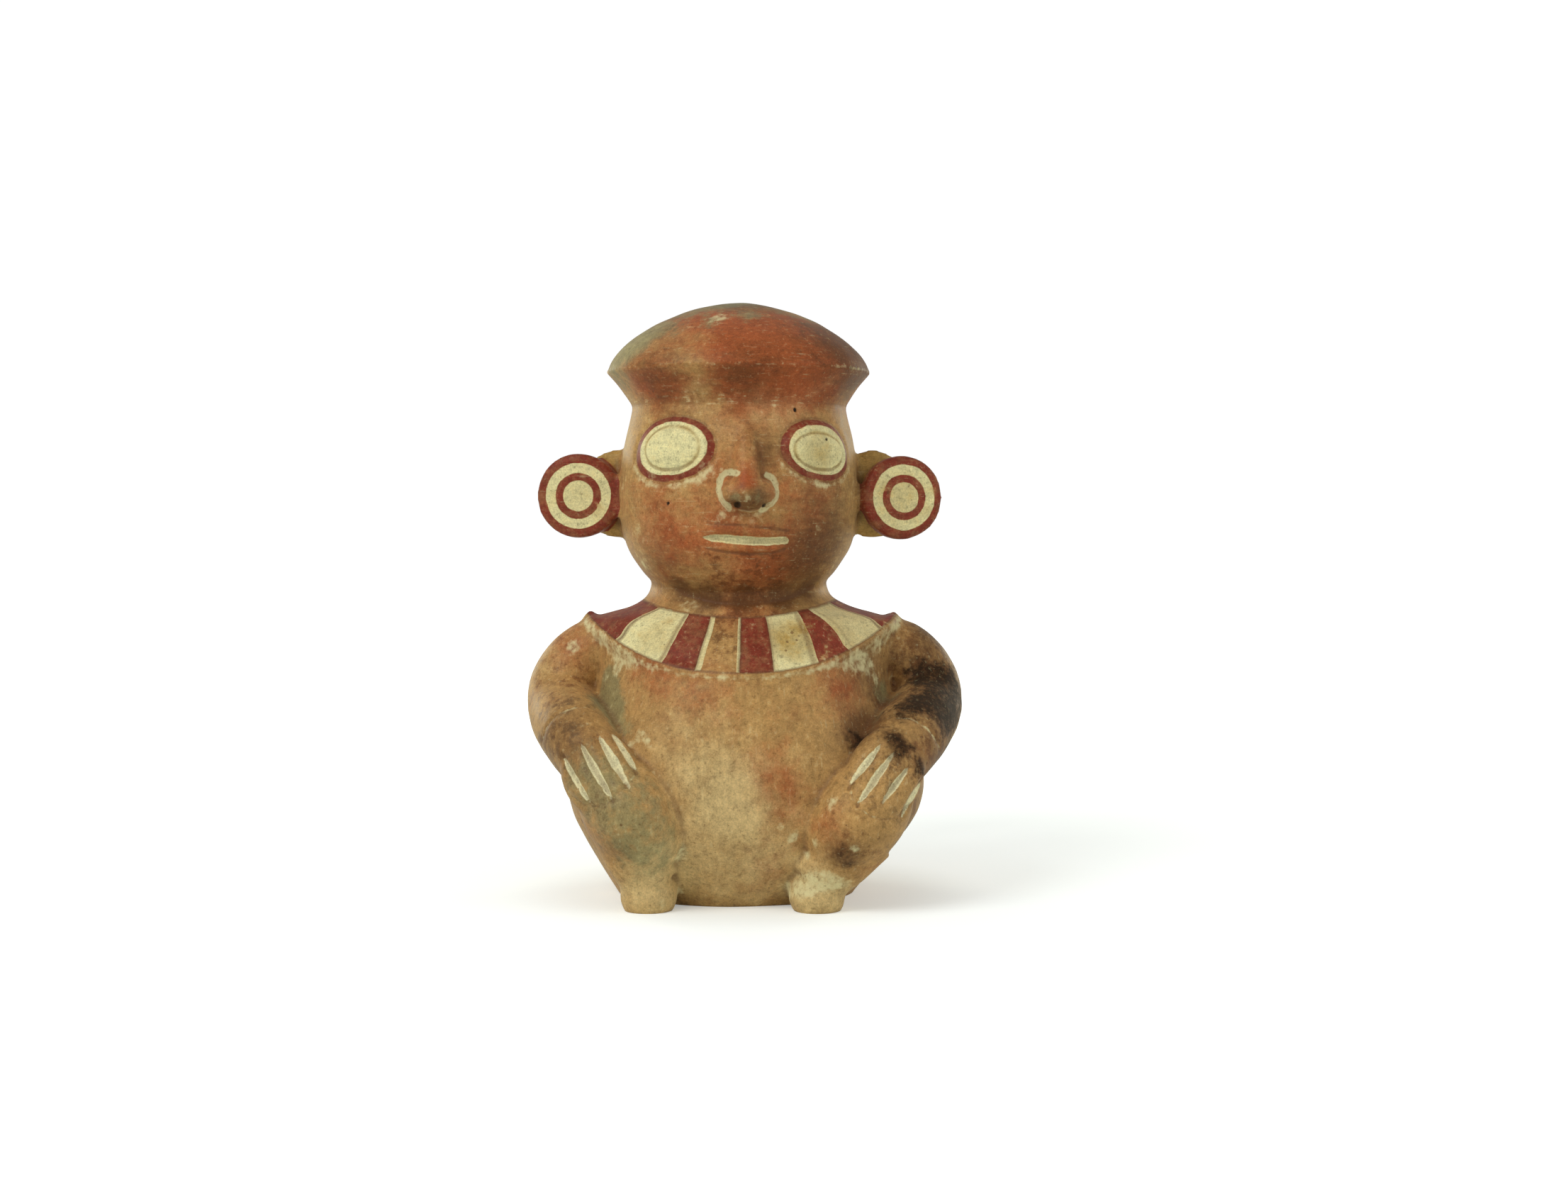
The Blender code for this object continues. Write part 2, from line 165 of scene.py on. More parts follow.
# The stirrup's ellipse
HANDLE_CENTRE = (68.0, 118.0)
HANDLE_START, HANDLE_END = math.radians(128), math.radians(-108)
HEAD_ENTRY = (32.0, 146.0)
BACK_ENTRY = (44.0, 77.0)
HANDLE_STEPS = 9
BODY_BACK = 60.0  # the collar ends before this, and the stirrup lies beyond
OVERRUN = 0.010  # how far a cutter runs past what it cuts
FLOOR_CUT = (0.4, 0.4, 0.1)
LIP_SPARE = 0.002  # how much taller the spout is made than its lip, which is then cut level
FOLDED = 0.985  # a point of an inset outline nearer than this share of its depth has folded over

# Carved and painted fields of the face, as ovals in the head's frame: middle and half sizes
EYE_TILTS = (math.radians(3), math.radians(-3.5))
EYE_INNER = (((-29.9, 171.8), (11.9, 7.7)), ((30.9, 170.8), (12.4, 6.4)))
EYE_CREAM = (((-30.3, 171.7), (15.7, 9.9)), ((31.3, 171.4), (15.5, 9.3)))
EYE_RING = (((-30.9, 171.4), (19.0, 12.0)), ((31.4, 171.3), (18.2, 11.4)))
# The mouth's slit: across, height and half of its width there
SLIT = ((-16.4, 138.4, 0.5), (-13.5, 138.2, 1.3), (-6, 137.6, 1.6), (2, 137.1, 1.5), (9, 136.9, 1.4),
        (15.4, 137.3, 1.3))
LIP_CREASES = (
    ((-14.5, 143.8), (-4, 143.1), (6, 142.1), (16.5, 140.9)),
    ((-15.8, 134.4), (-6.1, 132.8), (7.8, 132.4), (15.6, 134.1)),
)
WING_CREASES = (
    ((-3.6, 162.1), (-7.0, 162.5), (-9.3, 160.5), (-9.9, 156.3), (-8.6, 152.1), (-6.3, 149.3)),
    ((7.4, 161.6), (9.5, 160.5), (10.8, 156.4), (10.3, 152.7), (7.4, 150.1), (5.1, 148.5)),
)
NOSTRIL_HOLES = ((-3.4, 150.4, 1.3), (5.2, 150.2, 0.8))
FACE_PITS = ((-30.9, 151.1, 0.8), (21.2, 186.2, 0.9), (8.6, 181.7, 0.6), (33.6, 175.5, 0.7))
CHIN_CREASE = (113.4, 0.003)  # height in front, and its rise with the square of the way round
CHIN_FADES = (35, 62)  # how far round it fades out
FACE_ENDS = (math.radians(80), 62)  # angle about the head and distance from its axis
# Carved lines: the field, where in it, half the width, and how far out (in, where negative)
CARVED = (
    ("eye_inner", 0.6, 0.9, -0.6), ("eye_cream", 0.2, 1.3, 0.35), ("eye_ring", 0.6, 1.0, -0.4),
    ("wings", 0, 1.3, -0.55), ("lip_lines", 0, 0.9, -0.5), ("chin", 0, 1.6, -0.8),
    ("head", 189.2, 1.6, -0.25), ("head", 202.4, 0.9, 0.35), ("cuffs", 0, 1.0, -0.5),
    ("hand_ends", 0, 1.2, -0.75),
)
SLIT_DEPTH, STROKE_GROOVE = 0.9, 1.2
NOSE_BASE = ((0.7, 154), (11.0, 7.2), 0.45)  # its middle, half sizes and rise
HAND_WORK = ((21, 0.55), (7, 0.16))  # reach and size of the surface's unevenness

# Edges of the collar's stripes: degrees about the neck at the collar's top and at its hem
STRIPES_ABOUT = (-2.3, 0.0)
STRIPE_SPAN = (-115.0, 245.0)
STRIPE_RADII = (38.0, 55.0)
STRIPES = (
    (-52.6, -61.0), (-50.2, -58.8), (-33.3, -35.0), (-30.3, -33.2), (-16.2, -17.4), (-13.5, -15.3),
    (-0.5, -0.7), (2.1, 1.2), (16.5, 14.6), (19.9, 16.0), (33.9, 30.7), (36.3, 32.6),
    (44.0, 48.3), (47.6, 50.6), (67.8, 68.1),
    (112, 112), (130, 128), (133, 131), (148, 146), (151, 149), (163, 162), (166, 165),
    (180, 180), (183, 183), (197, 198), (200, 201), (214, 216), (217, 219), (234, 238),
)
STRIPE_FIELDS = "red thin cream thin red thin bare thin red thin cream thin red thin dim " \
    "red cream thin red thin bare thin red thin cream thin red thin cream red".split()
COLLAR_TOP, COLLAR_TOP_RISE = 109.2, 6.0  # in front, and how much higher it is at the sides
STRIPE_SCALE = 47.0  # radius at which a stripe's width is reckoned
STRIPE_LINE = 0.34  # half the width of the line between two stripes

# Cream strokes between the fingers, from the knuckles to the tips, with half their width
STROKES = (
    ((-66.6, -54.4, 58.7), (-54.4, -65.9, 40.7), 1.3),
    ((-59.8, -57.0, 63.6), (-46.3, -69.8, 42.4), 1.5),
    ((-53.5, -55.4, 66.6), (-39.9, -67.8, 46.2), 1.55),
    ((-49.1, -51.0, 67.3), (-37.9, -60.8, 52.2), 1.2),
    ((51.0, -58.8, 62.9), (37.9, -65.5, 47.1), 1.25),
    ((55.6, -60.9, 60.0), (41.3, -70.1, 41.2), 1.45),
    ((61.5, -61.0, 55.2), (50.5, -69.0, 41.8), 1.35),
    ((66.6, -56.5, 50.0), (58.0, -62.6, 36.0), 1.2),
)
STROKE_DEPTH = 0.35  # how much a stroke's distance counts from front to back

# Incised lines round the wrists and the finger tips
CUFFS = (
    ((-77, -37, 60), (-74.6, -41.3, 64.7), (-71.5, -43, 69.9), (-68.3, -43.3, 72.8),
     (-64.9, -43.3, 74.4), (-59.9, -42, 75.1), (-55.7, -39.6, 74.7)),
    ((56.3, -47.9, 71.3), (59.5, -48.3, 71.4), (62.9, -48.4, 70.9), (66, -48.8, 69.3),
     (68.4, -48.1, 67.4), (71.1, -47.1, 63.9), (73.2, -43.7, 59.9)),
)
HAND_ENDS = (
    ((-64, -58, 45.5), (-60.8, -61.7, 42.7), (-58, -63.5, 41.1), (-52.6, -66.9, 41),
     (-47.2, -69.2, 43.1), (-42.7, -67.5, 47.5), (-38.5, -61.3, 52.5), (-36.5, -57, 56)),
    ((36.8, -61, 52.5), (38.7, -65.3, 47.8), (40.7, -69, 43), (42.4, -70.2, 40.6),
     (47, -70.3, 37.5), (52.3, -68.2, 36.2), (57.6, -63.8, 37.2), (62, -58, 40)),
)

# Broad tones, wear and painted shade of the surface: place (across, back, height), reach and strength
REDDENED = (
    (16, -40, 212, 20, 1.2), (2, -44, 206, 20, 0.7), (34, -32, 206, 18, 0.8), (-36, -30, 206, 16, 0.3),
    (0, -48, 196, 10, 0.8), (30, -38, 195, 10, 0.3), (-30, -38, 195, 10, 0.7), (-40, -28, 197, 9, 0.6),
    (-27, -20, 221, 16, 0.4), (-13, -28, 220, 14, 0.7), (-32, -38, 148, 14, 0.6),
    (-14, -48, 142, 12, 0.4), (32, -40, 150, 16, 0.6), (10, -46, 128, 20, 0.7), (2, -59, 160, 4, 1.4),
    (-34, -40, 90, 14, 0.6), (38, -40, 82, 16, 0.5), (30, -66, 34, 10, 0.3), (-16, -54, 84, 18, 0.2),
    (12, -60, 46, 12, 0.4), (0, 44, 204, 40, 0.9), (8, 42, 150, 28, 0.6), (-48, 20, 150, 20, 0.5),
    (30, 50, 70, 26, 0.5), (-66, -12, 98, 10, 0.5), (46, -56, 44, 8, 0.5), (24, -46, 60, 12, 0.15),
    (-6, -54, 146, 6, 0.5), (0, -33, 110, 14, 0.5), (-60, 30, 60, 22, 0.4), (-26, -42, 131, 14, 0.35),
    (-30, -34, 122, 10, 0.5), (8, -52, 14, 16, 0.3), (-14, -50, 176, 12, 0.35), (2, -52, 166, 10, 0.35),
    (-12, -48, 158, 9, 0.4), (0, -48, 185, 18, 0.15), (16, -48, 158, 8, 0.4), (46, 14, 206, 24, 0.8),
    (-46, 16, 206, 22, 0.9), (0, 20, 228, 24, 0.5),
)
# Darker tone: partly the clay's own dark patches, partly painted shade under the chin and the cap's
# brim, beside and under the nose, and over the right cheek
DARKENED_AND_SHADED = (
    (34, -36, 140, 20, 0.8), (30, -36, 126, 16, 0.6), (0, -33, 115, 5, 1.6), (-13, -31, 116, 5, 1.4),
    (14, -29, 116, 5, 1.5), (-24, -27, 119, 6, 0.8), (25, -22, 119, 6, 0.9), (0, -36, 122, 8, 0.2),
    (14, -38, 124, 12, 0.3), (-16, -38, 124, 12, 0.25), (-32, -30, 130, 14, 0.5),
    (70, -10, 94, 24, 0.8), (44, -32, 86, 14, 0.6), (46, -20, 203, 18, 0.85), (0, -48, 198, 14, 0.8),
    (-30, -36, 198, 16, 0.8), (26, -38, 214, 18, 0.5), (42, -20, 214, 16, 1.1), (-66, -45, 66, 16, 0.7),
    (66, -40, 58, 18, 0.9), (9, -46, 172, 7, 0.6), (7, -49, 166, 6, 0.5), (60, -30, 30, 22, 0.6),
    (-20, -52, 30, 7, 0.4), (-5, -56, 151, 4, 0.8), (6, -56, 152, 6, 1.0), (0, -54, 149, 5, 0.9),
    (-58, -58, 56, 12, 0.5), (42, -50, 66, 9, 0.8), (-44, -66, 28, 8, 0.7), (38, -66, 24, 9, 0.9),
    (0, -12, 229, 18, 1.2), (0, 52, 62, 26, 0.5), (-60, 30, 90, 20, 0.5), (0, 108, 120, 20, 0.5),
    (20, 40, 128, 18, 0.4), (-30, -56, 74, 10, 0.3), (52, -44, 50, 10, 0.5), (31, -42, 171, 11, 0.95),
    (18, -42, 100, 11, 1.0), (34, -38, 104, 10, 0.6), (61, -12, 154, 16, 0.75),
    (-64, -12, 155, 16, 0.6), (55, -30, 77, 5, 1.0), (47, -43, 67, 7, 1.0), (-20, 48, 110, 16, 0.4),
    (-36, -36, 99, 10, 0.5), (-22, -36, 100, 14, 0.4), (8, -38, 99, 10, 0.35),
)
PALED = (
    (-18, -60, 60, 24, 0.6), (0, -56, 34, 22, 0.55), (30, -50, 8, 14, 1.3), (-34, -50, 10, 14, 1.4),
    (28, -58, 56, 12, 0.3), (-76, -8, 88, 14, 0.6), (0, -48, 8, 28, 0.6), (-30, -62, 22, 12, 0.5),
    (-6, -60, 44, 14, 0.5), (-48, -12, 176, 12, 0.7), (-30, -40, 146, 16, 0.4), (46, -10, 176, 12, 0.6),
    (-72, -30, 62, 14, 0.4), (-20, -44, 188, 12, 0.4), (8, -48, 184, 14, 0.6), (-4, -50, 174, 9, 0.2),
    (30, -40, 186, 10, 0.4), (-42, -22, 212, 13, 1.6), (34, -34, 193, 9, 0.5), (-20, 58, 30, 26, 0.6),
    (40, 40, 20, 20, 0.6), (0, 76, 166, 14, 0.5),
)
GREENED = (
    (-52, -24, 84, 6, 1.8), (-51, -30, 77, 7, 2.0), (-48, -36, 72, 6, 1.5), (-45, -43, 67, 5, 0.8),
    (-36, -24, 213, 13, 1.6), (-46, -16, 208, 12, 1.3), (-14, -14, 229, 18, 1.3),
    (24, -12, 228, 18, 0.9), (-12, -36, 217, 5, 0.8), (-24, -36, 212, 4, 0.8), (2, -32, 221, 6, 0.8),
    (53, -26, 80, 6, 1.4), (51, -38, 71, 5, 0.8), (-40, -64, 34, 15, 1.1), (-50, -60, 48, 14, 0.8),
    (-44, -4, 122, 12, 0.6), (42, -4, 122, 10, 0.5), (-4, -56, 151, 4, 0.8), (60, -45, 22, 14, 0.5),
    (-72, -20, 40, 14, 0.5), (-14, -50, 176, 10, 0.6), (-24, -44, 186, 10, 0.2), (4, -50, 184, 8, 0.5),
    (-66, -44, 72, 14, 0.4), (36, -60, 44, 12, 0.3), (-10, 30, 222, 22, 0.5), (0, 50, 92, 14, 0.6),
    (0, -54, 168, 6, 0.3), (6, -58, 153, 5, 0.6), (-30, -58, 20, 12, 0.5), (-56, -62, 52, 14, 0.5),
    (56, -60, 48, 14, 0.5), (-34, -62, 24, 10, 0.4),
)
SOOTED = (
    (68, -20, 83.5, 7, 1.0), (74, -20, 83, 8, 1.4), (79, -18, 81, 7, 1.0), (62, -42, 75, 6, 1.0),
    (66, -38, 76.5, 7, 1.1), (72, -36, 75, 8, 1.5), (76, -27, 78, 8, 1.0), (79, -28, 71, 8, 1.2),
    (76, -37, 67, 7, 0.8), (58, -47, 71.6, 5, 0.7), (68, -18, 87, 5, 0.6), (79, -14, 85, 6, 0.5),
    (80, -14, 76, 9, 0.9), (43, -47, 62.5, 5, 1.2), (52, -38, 71, 4, 0.6), (56, -57.6, 64, 5, 0.8),
    (58, -59, 61, 5, 0.8), (53.4, -55, 66, 4, 0.6), (65, -57, 55, 4.5, 0.8), (67, -55, 52, 4.5, 0.7),
    (38, -66, 22, 6, 0.7), (50, -62, 30, 6, 0.4), (70, -6, 100, 8, 0.35), (-45, -66, 22, 5, 0.4),
    (-60, -60, 52, 5, 0.3), (50, 20, 96, 8, 0.6), (-20, 56, 40, 9, 0.5),
)
MOTTLED = (
    (70, -10, 92, 22, 1.0), (72, -38, 62, 18, 1.0), (52, -58, 50, 16, 0.8), (-70, -12, 84, 20, 0.7),
    (-68, -42, 62, 18, 1.0), (-52, -62, 48, 15, 0.4), (-42, -62, 30, 16, 0.35), (40, -62, 28, 14, 0.8),
    (-30, -30, 212, 24, 0.5), (30, -30, 212, 24, 0.8), (36, -40, 140, 14, 0.5), (0, -44, 116, 22, 0.8),
    (-48, -50, 12, 14, 0.4), (60, -20, 30, 20, 0.6), (-60, -20, 40, 20, 0.6), (0, 50, 60, 36, 0.4),
    (0, 40, 205, 34, 0.5), (0, 100, 118, 34, 0.5), (0, -40, 100, 50, 0.3),
)
RUBBED = (
    (-8, -50, 163, 2.5, 0.5), (-8, -50, 146, 4, 0.8), (-2, -51, 145, 4, 0.5), (6, -50, 146, 4, 0.45),
    (14, -51, 153, 3.5, 0.45), (-14, -49, 164, 4, 0.5), (-17, -48, 160, 3.5, 0.45),
    (-22.8, -55.3, 22, 3.2, 0.65), (-22, -54.5, 26, 2.3, 0.8), (24, -56, 22, 1.8, 0.7),
    (26.7, -61.5, 26.6, 2.4, 0.6), (19, -57.7, 28.6, 2.2, 0.8), (13.7, -59.7, 33, 2, 0.5),
    (32, -64.5, 42.5, 3, 0.5), (41, -68.5, 26, 1.8, 0.8), (21.6, -55, 10.5, 4, 1.1),
    (26.7, -58.4, 12.3, 4, 1.0), (32, -59, 12.5, 3.5, 0.9), (17, -48, 6.5, 4, 0.9),
    (37, -58, 11, 4, 0.6), (-24, -45, 4.5, 3.5, 0.8), (-30, -57, 3.5, 3, 0.4), (-66, -14, 96, 3.5, 0.7),
    (27, -60, 56, 4.5, 0.5), (33, -58, 60, 4.5, 0.55), (-41.5, -48, 61.6, 3, 0.35),
    (-37.5, -49, 65.6, 3, 0.4), (-34.7, -51.4, 63, 2.5, 0.35), (-30, -44, 140, 4, 0.4),
    (1.8, -58, 153.5, 2.6, 0.45), (-10, -34, 220, 4, 0.6), (-42, -30, 140, 5, 0.4),
    (-54, -42, 66, 4, 0.4), (-54.3, -20, 102.6, 4, 0.7), (-50.6, -26, 98.8, 4.5, 0.8),
    (-46.8, -30, 95, 5, 0.8), (-42.4, -35, 92.5, 4, 0.6), (-48.2, -29, 88, 3.5, 0.6),
    (-52.8, -22, 85, 3, 0.5), (43, -33.5, 92.4, 4.5, 0.7), (46.5, -30.3, 91, 4.5, 0.7),
    (50.4, -27.1, 84, 3, 0.6), (51.4, -29, 77.4, 2.2, 0.5), (39, -38.3, 90, 3.5, 0.5),
    (50.4, -25.2, 98.7, 4, 0.7), (-34, -36, 163, 4, 0.5), (-44, -14, 160, 5, 0.5),
    (44, -16, 158, 5, 0.4), (-38, -20, 128, 5, 0.5), (36, -20, 127, 5, 0.4), (-20, -44, 187, 5, 0.4),
    (20, -46, 186, 4, 0.35), (-60, 20, 70, 6, 0.4), (10, 58, 50, 7, 0.4), (-20, -31, 112, 5, 0.4),
    (16, -31, 111, 5, 0.3),
)

# The stripes' slips: how red and how cream each kind is
BLACK, WHITE = (0, 0, 0, 1), (1, 1, 1, 1)
STRIPE_LOOKS = {"red": (1, 0, 0, 1), "cream": (0, 1, 0, 1), "dim": (0, 0.72, 0, 1),
                "thin": (0.1, 0.85, 0, 1), "bare": BLACK}
LINES_TO_A_RAMP = 7  # a colour ramp holds 32 stops, and a line takes four

CAP_ROOT, CAP_RIM = 190, 202.6  # heights of the pale scratches on the cap
SPECKS_APART = 4.2
FINE_PASSES, BROAD_PASSES = 4, 40  # of smoothing, against which creases stand out
FAR, OFF_FACE = 99.0, 999.0  # distances given where a field doesn't reach

# Light, floor and camera
ROOM_LIGHT, ROOM_SEEN = 0.41, 1.02  # brightness of the white room on the vessel, and to the camera
FLOOR, FLOOR_LIFT = (0.905, 0.955, 0.935, 1), (0.985, 1, 0.985, 1)
FLOOR_SIZE = 8
LIT = (0, 0, 0.11)  # where the lights point
LIGHTS = (  # name, place, size, watts and colour
    ("key", (-0.75, -0.85, 1.05), 0.8, 8.6, (1, 1, 1)),
    ("fill", (1.0, -0.6, 0.6), 0.9, 2, (1, 1, 1)),
    ("rim", (-0.7, 0.75, 0.3), 0.4, 1.8, (1, 1, 0.82)),
    ("rim", (0.7, 0.75, 0.3), 0.4, 1.8, (1, 1, 0.82)),
)
CAMERA_PLACE = (0.0153, -0.85, 0.137)
CAMERA_DROP = 1.25  # degrees below the level
CAMERA_LENS, CAMERA_SENSOR = 49.7, 36


def srgb(red, green, blue):
    """A colour as seen on a screen, from 0 to 255, as light."""
    levels = [c / 255 for c in (red, green, blue)]
    return (*(c / 12.92 if c <= 0.04045 else ((c + 0.055) / 1.055) ** 2.4 for c in levels), 1.0)


CLAY = srgb(187, 145, 86)
CLAY_RED = srgb(170, 88, 44)
# Dark clay, also laid as painted shade: in broad creases, under the chin, and in the dark tone
CLAY_DARK_AND_SHADE = srgb(98, 60, 28)
CLAY_PALE = srgb(214, 188, 130)
PATINA = srgb(142, 138, 94)
CREAM = srgb(238, 227, 168)
# Dirty cream, also laid on the creams as painted shade where the dark tone is
CREAM_DIRTY_AND_SHADED = srgb(178, 146, 78)
SLIP_RED = srgb(133, 55, 36)
SLIP_RED_WORN = srgb(158, 106, 68)
# Colour of the incised lines, also laid as painted shade in fine creases
LINE = srgb(98, 62, 38)
# Soot, also laid as painted shade in the nostrils and pits
SOOT_AND_PIT_SHADE = srgb(38, 22, 3)
RUB = srgb(230, 222, 168)
BONE = srgb(236, 226, 186)


# Forms, as in the solid


def spline(points, steps):
    """Points on a smooth curve through the given ones, with so many steps to each span."""
    ends = [points[0], *points, points[-1]]
    curve = []
    for a, b, c, d in zip(ends, ends[1:], ends[2:], ends[3:]):
        for i in range(steps):
            t = i / steps
            curve.append(tuple(
                0.5 * (2 * q + (r - p) * t + (2 * p - 5 * q + 4 * r - s) * t**2
                       + (3 * q - p - 3 * r + s) * t**3)
                for p, q, r, s in zip(a, b, c, d)
            ))
    return [*curve, tuple(map(float, points[-1]))]


def add_object(name, data):
    item = bpy.data.objects.new(name, data)
    bpy.context.scene.collection.objects.link(item)
    return item


def evaluated_mesh(item):
    """The object's evaluated mesh, in world space."""
    bpy.context.view_layer.update()
    graph = bpy.context.evaluated_depsgraph_get()
    mesh = bpy.data.meshes.new_from_object(item.evaluated_get(graph))
    mesh.transform(item.matrix_world)
    return mesh


def join(name, pieces):
    """One object that holds the pieces' meshes, which may cross each other."""
    both = bmesh.new()
    for piece in pieces:
        both.from_mesh(evaluated_mesh(piece))
        bpy.data.objects.remove(piece)
    bmesh.ops.remove_doubles(both, verts=both.verts, dist=MERGED)
    mesh = bpy.data.meshes.new(name)
    both.to_mesh(mesh)
    both.free()
    return add_object(name, mesh)


def loft(name, sections, around):
    """A closed body through level sections: height, half width, half depth, shift, squareness."""
    body = bmesh.new()
    rings = []
    for height, width, depth, shift, squareness in sections:
        ring = []
        for i in range(around):
            angle = 2 * math.pi * i / around
            across, back = math.cos(angle), math.sin(angle)
            size = (abs(across) ** squareness + abs(back) ** squareness) ** (-1 / squareness)
            ring.append(body.verts.new((shift + width * across * size, depth * back * size, height)))
        rings.append(ring)
    for lower, upper in zip(rings, rings[1:]):
        for i in range(around):
            j = (i + 1) % around
            body.faces.new((lower[i], lower[j], upper[j], upper[i]))
    body.faces.new(rings[0][::-1])
    body.faces.new(rings[-1])
    mesh = bpy.data.meshes.new(name)
    body.to_mesh(mesh)
    body.free()
    return add_object(name, mesh)


def turned(name, outline, around):
    """A turned body: the outline is radius and height, from its top on the axis to its bottom."""
    mesh = bpy.data.meshes.new(name)
    points = [(radius, 0, height) for radius, height in outline]
    mesh.from_pydata(points, [(i, i + 1) for i in range(len(points) - 1)], [])
    body = add_object(name, mesh)
    screw = body.modifiers.new("Turn", "SCREW")
    screw.axis = "Z"
    screw.steps = screw.render_steps = around
    screw.use_merge_vertices = True
    screw.merge_threshold = MERGED
    return body


def tube(name, beads, sides=10):
    """A round bar with closed ends through places with a radius each."""
    curve = bpy.data.curves.new(name, "CURVE")
    curve.dimensions = "3D"
    curve.bevel_depth = 1.0
    curve.bevel_resolution = sides
    curve.use_fill_caps = True
    path = curve.splines.new("POLY")
    path.points.add(len(beads) - 1)
    for point, (across, back, height, radius) in zip(path.points, beads):
        point.co = (across, back, height, 1)
        point.radius = radius
    return add_object(name, curve)


def blob(name, centre, half_sizes, turns=(0, 0, 0)):
    """An egg shape, with its own axes turned about X, Y and Z."""
    bpy.ops.mesh.primitive_uv_sphere_add(radius=1, **EGG_MESH)
    egg = bpy.context.object
    egg.name = name
    egg.location = centre
    egg.rotation_euler = turns
    egg.scale = half_sizes
    return egg


def scaled(rows, size=MM, kept=0):
    """The rows in metres, with the last columns, so many, as they are."""
    return [tuple(v if i >= len(row) - kept else v * size for i, v in enumerate(row)) for row in rows]


def mirrored(centre, side):
    return Vector((centre[0] * side, centre[1], centre[2]))


def torso_sections():
    return spline(scaled(TORSO, kept=1), 8)


def limbs(side):
    """An arm with its hand, and a drawn-up leg, of the left (-1) or right (1) side."""
    arm = [(x * side, y, z, r) for x, y, z, r in spline(scaled(ARM), 10)]
    knee, foot = (places[side > 0] for places in (KNEE_PLACES, FOOT_PLACES))
    shin = []
    for i, (back, height, radius) in enumerate(SHIN):
        across = knee + (foot - knee) * i / (len(SHIN) - 1)
        shin.append((across * MM, back * MM, height * MM, radius * MM))
    tilt, lean = PALM_TURN
    return [
        tube("arm", arm),
        blob("shoulder", arm[0][:3], [arm[0][3]] * 3),
        blob("palm", mirrored(PALM[0], side) * MM, Vector(PALM[1]) * MM, (tilt, -lean * side, 0)),
        blob("knee", Vector((knee, *KNEE[0])) * MM, Vector(KNEE[1]) * MM, (0, KNEE_LEAN * side, 0)),
        tube("shin", shin),
        blob("foot", Vector((foot, *FOOT[0])) * MM, Vector(FOOT[1]) * MM),
    ]


def at_height(outline, height):
    """The value of an outline, which runs downwards, at a height."""
    for (r0, z0), (r1, z1) in zip(outline, outline[1:]):
        if z1 <= height <= z0:
            return r0 + (r1 - r0) * (z0 - height) / max(z0 - z1, 1e-9)
    return outline[-1][0]


def torso_depth(across, height):
    """How far the torso's skin is from its middle plane, straight in front or behind."""
    sections = torso_sections()[::-1]
    width, depth, shift, squareness = (
        at_height([(row[i], row[0]) for row in sections], height) for i in (1, 2, 3, 4)
    )
    share = min(abs(across - shift) / width, 1)
    return depth * (1 - share**squareness) ** (1 / squareness)


def hem_beads(facing):
    """The collar's raised hem, in front (-1) or behind (1), in metres."""
    beads = []
    steps = 56
    for i in range(steps + 1):
        share = math.sin(math.pi * (i / steps - 0.5))
        height = COLLAR_LOW + (COLLAR_CORNER - COLLAR_LOW) * abs(share) ** COLLAR_BEND
        across = (COLLAR_MIDDLE + COLLAR_REACH * share) * MM
        depth = torso_depth(across, height * MM) - HEM_SINK * MM
        beads.append((across, facing * max(depth, 0), height * MM, HEM_RADIUS * MM))
    return beads


def crown_outline():
    """The cap's crown, from its top on the axis to just above its edge."""
    radius, edge = CAP_EDGE
    rise = CAP_TOP - edge
    steps = 28
    outline = []
    for i in range(steps):
        angle = math.pi / 2 * i / steps
        across = math.sin(angle) ** (2 / CAP_SHARPNESS)
        outline.append((radius * across, edge + rise * math.cos(angle) ** (2 / CAP_SHARPNESS)))
    return outline


def head_outline():
    face = spline([CAP_EDGE, *FACE, (0, CHIN_BOTTOM)], 10)
    return [(r * MM, z * MM) for r, z in [*crown_outline(), *face]]


def head_frame():
    """Places a thing made about the head's axis."""
    across, back = HEAD_CENTRE
    return Matrix.Translation((across * MM, back * MM, 0)) @ Matrix.Rotation(HEAD_TURN, 4, "Z")


def face_place(across, height, out=0.0):
    """A place on the face, so far across the surface from its middle, and its turn about Z."""
    radius = min(head_outline(), key=lambda point: abs(point[1] - height * MM) + (point[0] == 0))[0]
    angle = across * MM / radius
    radius += out * MM
    place = Vector((radius * math.sin(angle), -radius * math.cos(angle) * HEAD_DEPTH, height * MM))
    return head_frame() @ place, angle + HEAD_TURN


def head_body():
    body = turned("head", head_outline(), AROUND)
    body.matrix_world = head_frame() @ Matrix.Diagonal((1, HEAD_DEPTH, 1, 1))
    return body


def nose():
    beads = []
    for *where, radius in spline(BRIDGE, 8):
        place, _ = face_place(*where)
        beads.append((*place, radius * MM))
    pieces = [tube("bridge", beads)]
    tip, turn = face_place(*NOSE_TIP[0])
    pieces.append(blob("nose_tip", tip, Vector(NOSE_TIP[1]) * MM, (0, 0, turn)))
    for side in (-1, 1):
        (across, height, out), sizes = NOSTRIL
        place, turn = face_place(across * side, height, out)
        pieces.append(blob("nostril", place, Vector(sizes) * MM, (0, 0, turn)))
    return pieces


def eyes():
    pieces = []
    for side in (-1, 1):
        (across, height), (width, tall, deep) = EYE
        place, turn = face_place(across * side, height, -EYE_SINK)
        pieces.append(blob("eye", place, Vector((width, deep, tall)) * MM, (0, EYE_TILT * side, turn)))
    return pieces


def lips():
    pieces = []
    steps = 24
    for height in LIP_HEIGHTS:
        beads = []
        for i in range(steps + 1):
            share = 2 * i / steps - 1
            place, _ = face_place(LIP_REACH * share, height, -LIP_SINK)
            beads.append((*place, LIP_RADIUS * (1 - share**4 / 2) * MM))
        pieces.append(tube("lip", beads))
    return pieces


